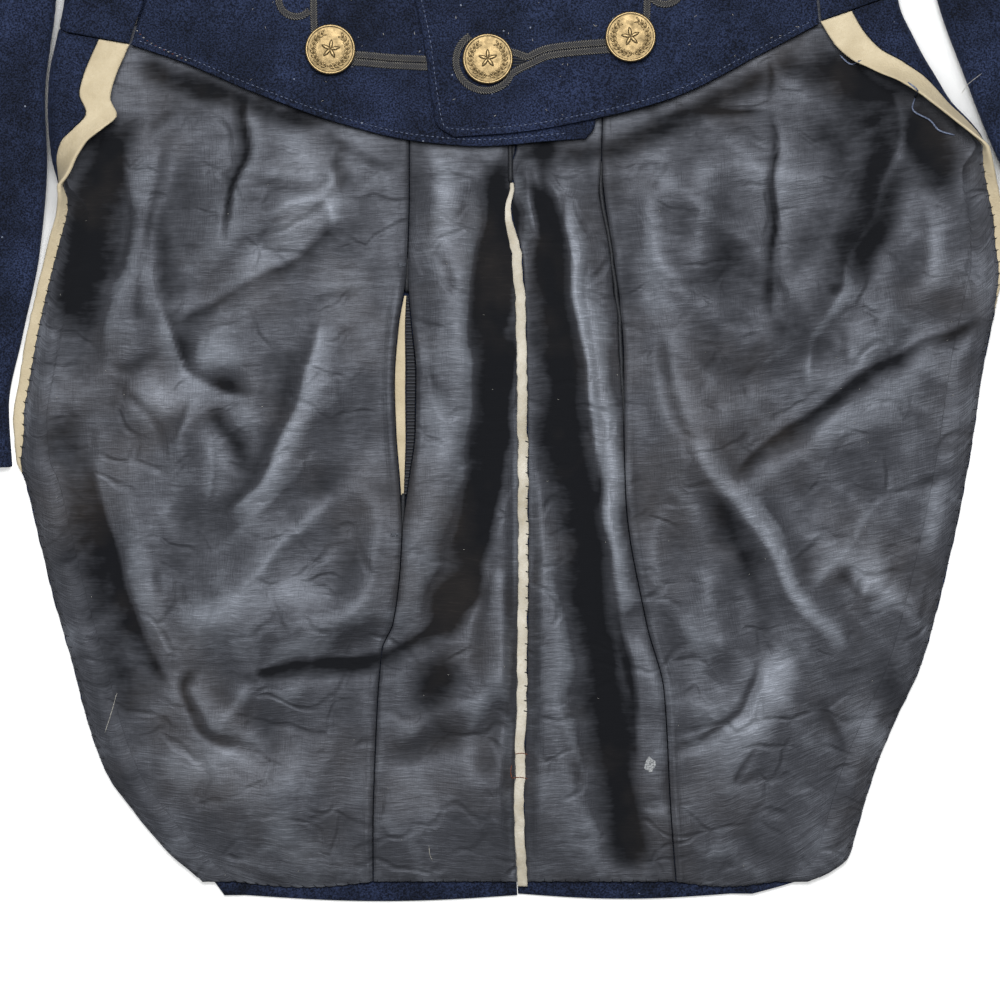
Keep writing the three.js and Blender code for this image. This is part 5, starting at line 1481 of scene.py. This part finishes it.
tacks = []
for x, y in ((-55, -151.4), (-58.3, -275.6)):  # bar tacks at both ends of the pocket mouth
    for k in range(4):
        down = 0.45 * k
        tack = [(x - 2.1, y - down), (x, y + 0.12 - down), (x + 2.1, y - down)]
        tacks.append(laidThread(tack, onLining, 0.12, 0.7))
addThreads("barTacks", tacks, 0.2, tackThread)

for row in buttonRows:  # worked buttonhole beside each middle button
    mx, my = row.middle
    my -= 1.2
    loop = [(mx + 10 + 8 * math.cos(a), my + 1.5 * math.sin(a)) for a in np.linspace(0, 2 * math.pi, 15)]
    worked = [laidThread(loop, onFronts, 0.12, 1.2),
              laidThread([(mx + 4, my), (mx + 17, my)], onFronts, 0.05, 1.5)]
    addThreads(f"buttonhole{row.number}", worked, 0.5, blackThread, 6)

wander = lambda y: float(softNoise(np.array(y), np.array(0.0), 5, 53))
gaping = lambda y: leftTail.seam(y).x - 0.3 * float(gape(y)) + 0.3 * wander(y)
opened = []  # painted shadow: black tubes laid down in the seams that gape, where the gaps are in shade
for line, top, foot, up in ((gaping, -104, -226, 2.2),
                            (lambda y: rightTail.seam(y).x, -148, -166, 2.2),
                            (lambda y: rightTail.seam(y).x, -257, -277, 2.2),
                            (lambda y: innerEdge(leftTail)(y) + 0.2, -93, coat["ventTop"] - 1, 2.0)):
    opened.append([(float(line(y)), y, woolThick + up) for y in np.arange(top, foot, -1.5)])
addThreads("seamShadow", opened, 1.15, blackThread, 8)

loose = [laidThread([(146.3, -55.4), (151, -59.5), (155.5, -58.5)], onTails, 0.35, 1.2, 0.5),
         laidThread([(176.2, -69.2), (180.8, -73.8), (179.9, -80.7), (187.7, -85.3), (192, -90),
                     (199.2, -92.2)], onTails, 0.4, 1.2, 0.6)]
addThreads("looseThreads", loose, 0.42, paleThread)
hairs = [laidThread([(201.5, -73.8), (204.5, -69.5), (210.7, -64.6)], lambda x, y: 12.0, 0.4, 1.0, 1.5),
         laidThread([(-42.8, -419), (-42.3, -423.4), (-41, -426)], onLining, 0.2, 1.5, 0.3),
         laidThread([(-191.8, -367.3), (-188.8, -358), (-186.3, -348.9)], onLining, 0.12, 2.0)]
addThreads("hairs", hairs, 0.13, bastingThread, 4)


def lint(count, seed, left, right, bottom, top, height, reach):
    draw = np.random.default_rng(seed)
    flecks = []
    for _ in range(count):
        x, y = draw.uniform(left, right), draw.uniform(bottom, top)
        way, long = draw.uniform(0, math.pi), draw.uniform(0.3, reach)
        dx, dy = long * math.cos(way), long * math.sin(way)
        bend = draw.uniform(-0.3, 0.3) * long
        path = [(x - dx, y - dy), (x + bend * math.sin(way), y - bend * math.cos(way)), (x + dx, y + dy)]
        flecks.append(laidThread(path, height, 0.12, max(0.3, long / 2)))
    return [fleck for fleck in flecks if len(fleck) > 2]


flecks = lint(420, 11, -210, 150, -96, 330, onFronts, 0.9)
flecks += lint(60, 12, -215, 200, -435, -110, onLining, 0.35)
addThreads("lint", flecks, 0.09, bastingThread, 4)

spotX, spotY, spotSides = 58.9, -382, 22
angle = np.linspace(0, 2 * math.pi, spotSides, endpoint=False)
ragged = 1 + 0.28 * softNoise(9 * np.cos(angle), 9 * np.sin(angle), 4, 17)
rings = [(spotX + f * 2.4 * ragged * np.cos(angle), spotY + f * 3.4 * ragged * np.sin(angle))
         for f in (0.34, 0.67, 1.0)]
spot = [(spotX, spotY)] + [(float(x), float(y)) for xs, ys in rings for x, y in zip(xs, ys)]
spot = np.array([(x, y, onLining(x, y) + 0.07) for x, y in spot])
faces = [[0, 1 + i, 1 + (i + 1) % spotSides] for i in range(spotSides)]
faces += [[1 + a, 1 + d, 1 + c, 1 + b] for a, b, c, d in ringFaces(len(rings), spotSides, False)]
stain = makeThread("chalkyStain", "#5C5E60", "#B4B6B6")  # a dried, powdery splash on the lining
makePiece("liningSpot", spot, faces, spot[:, :2], stain)
print("stitching made")


# Floor, light and camera.
studio = {
    "centre": (-0.0101, -0.2601),
    "height": 2.2,  # of the camera over the cloth
    "across": 0.46,  # width of the view on the cloth
    "floor": "#F4F4F2",
}


def makeFloor():
    mesh = bpy.data.meshes.new("floor")
    corners = [(x, y, -0.0005) for x, y in ((-4, -4), (4, -4), (4, 4), (-4, 4))]
    mesh.from_pydata(corners, [], [(0, 1, 2, 3)])
    finish, add, feed = newFinish("paleFloor", Roughness=0.9, Specular_IOR_Level=0.1, Emission_Strength=0.55)
    grain = add("TexNoise", {"Vector": add("TexCoord", out=3), "Scale": 9.0})
    colour = add("ValToRGB", {"Fac": grain}, ramp=[(0.3, shade(studio["floor"])), (0.7, shade("#F8F8F7"))])
    feed("Base Color", colour)
    closed = add("AmbientOcclusion", out=1, samples=1)  # painted shade: in the floor's upper part its colour and glow darken in the narrow gaps between pieces
    closed.node.inputs["Distance"].default_value = 0.045
    height = add("SeparateXYZ", {0: add("TexCoord", out=3)}, out=1)
    upper = add("MapRange", {0: height, 1: -0.24, 2: -0.1, 3: 0.0, 4: 1.0})
    shaded = add("ValToRGB", {"Fac": closed},
                 ramp=[(0.4, level(0.02)), (0.84, level(0.15)), (0.99, level(1.0))])
    shaded = add("MixRGB", {"Fac": 1.0, "Color1": colour, "Color2": shaded}, blend_type="MULTIPLY")
    colour = add("MixRGB", {"Fac": upper, "Color1": colour, "Color2": shaded})
    feed("Base Color", colour)
    feed("Emission Color", colour)
    mesh.materials.append(finish)
    floor = bpy.data.objects.new("floor", mesh)
    bpy.context.scene.collection.objects.link(floor)


def addLight(name, place, aim, size, power, colour):
    lamp = bpy.data.lights.new(name, "AREA")
    lamp.shape, lamp.size, lamp.size_y = "RECTANGLE", size[0], size[1]
    lamp.energy, lamp.color = power, colour
    light = bpy.data.objects.new(name, lamp)
    light.location = place
    way = [a - b for a, b in zip(aim, place)]
    light.rotation_euler = mathutils.Vector(way).to_track_quat("-Z", "Y").to_euler()
    bpy.context.scene.collection.objects.link(light)


makeFloor()
addLight("topSoftbox", (0.0, 0.3, 1.45), (0.0, -0.24, 0.0), (0.8, 0.72), 31, (0.97, 0.98, 1.0))
addLight("fillSoftbox", (-0.9, -0.7, 1.6), (0.0, -0.25, 0.0), (0.8, 0.5), 3, (0.96, 0.98, 1.0))
world = bpy.data.worlds.new("studio")
world.use_nodes = True
world.node_tree.nodes["Background"].inputs[0].default_value = (0.92, 0.95, 1.0, 1.0)
world.node_tree.nodes["Background"].inputs[1].default_value = 0.07
scene = bpy.context.scene
scene.world = world
scene.view_settings.view_transform = "Standard"
lens = bpy.data.cameras.new("overhead")
lens.sensor_width = 36.0
lens.lens = 36.0 * studio["height"] / studio["across"]
lens.clip_end = 20.0
camera = bpy.data.objects.new("overhead", lens)
camera.location = (*studio["centre"], studio["height"] + 0.005)
scene.collection.objects.link(camera)
scene.camera = camera
print("studio made")
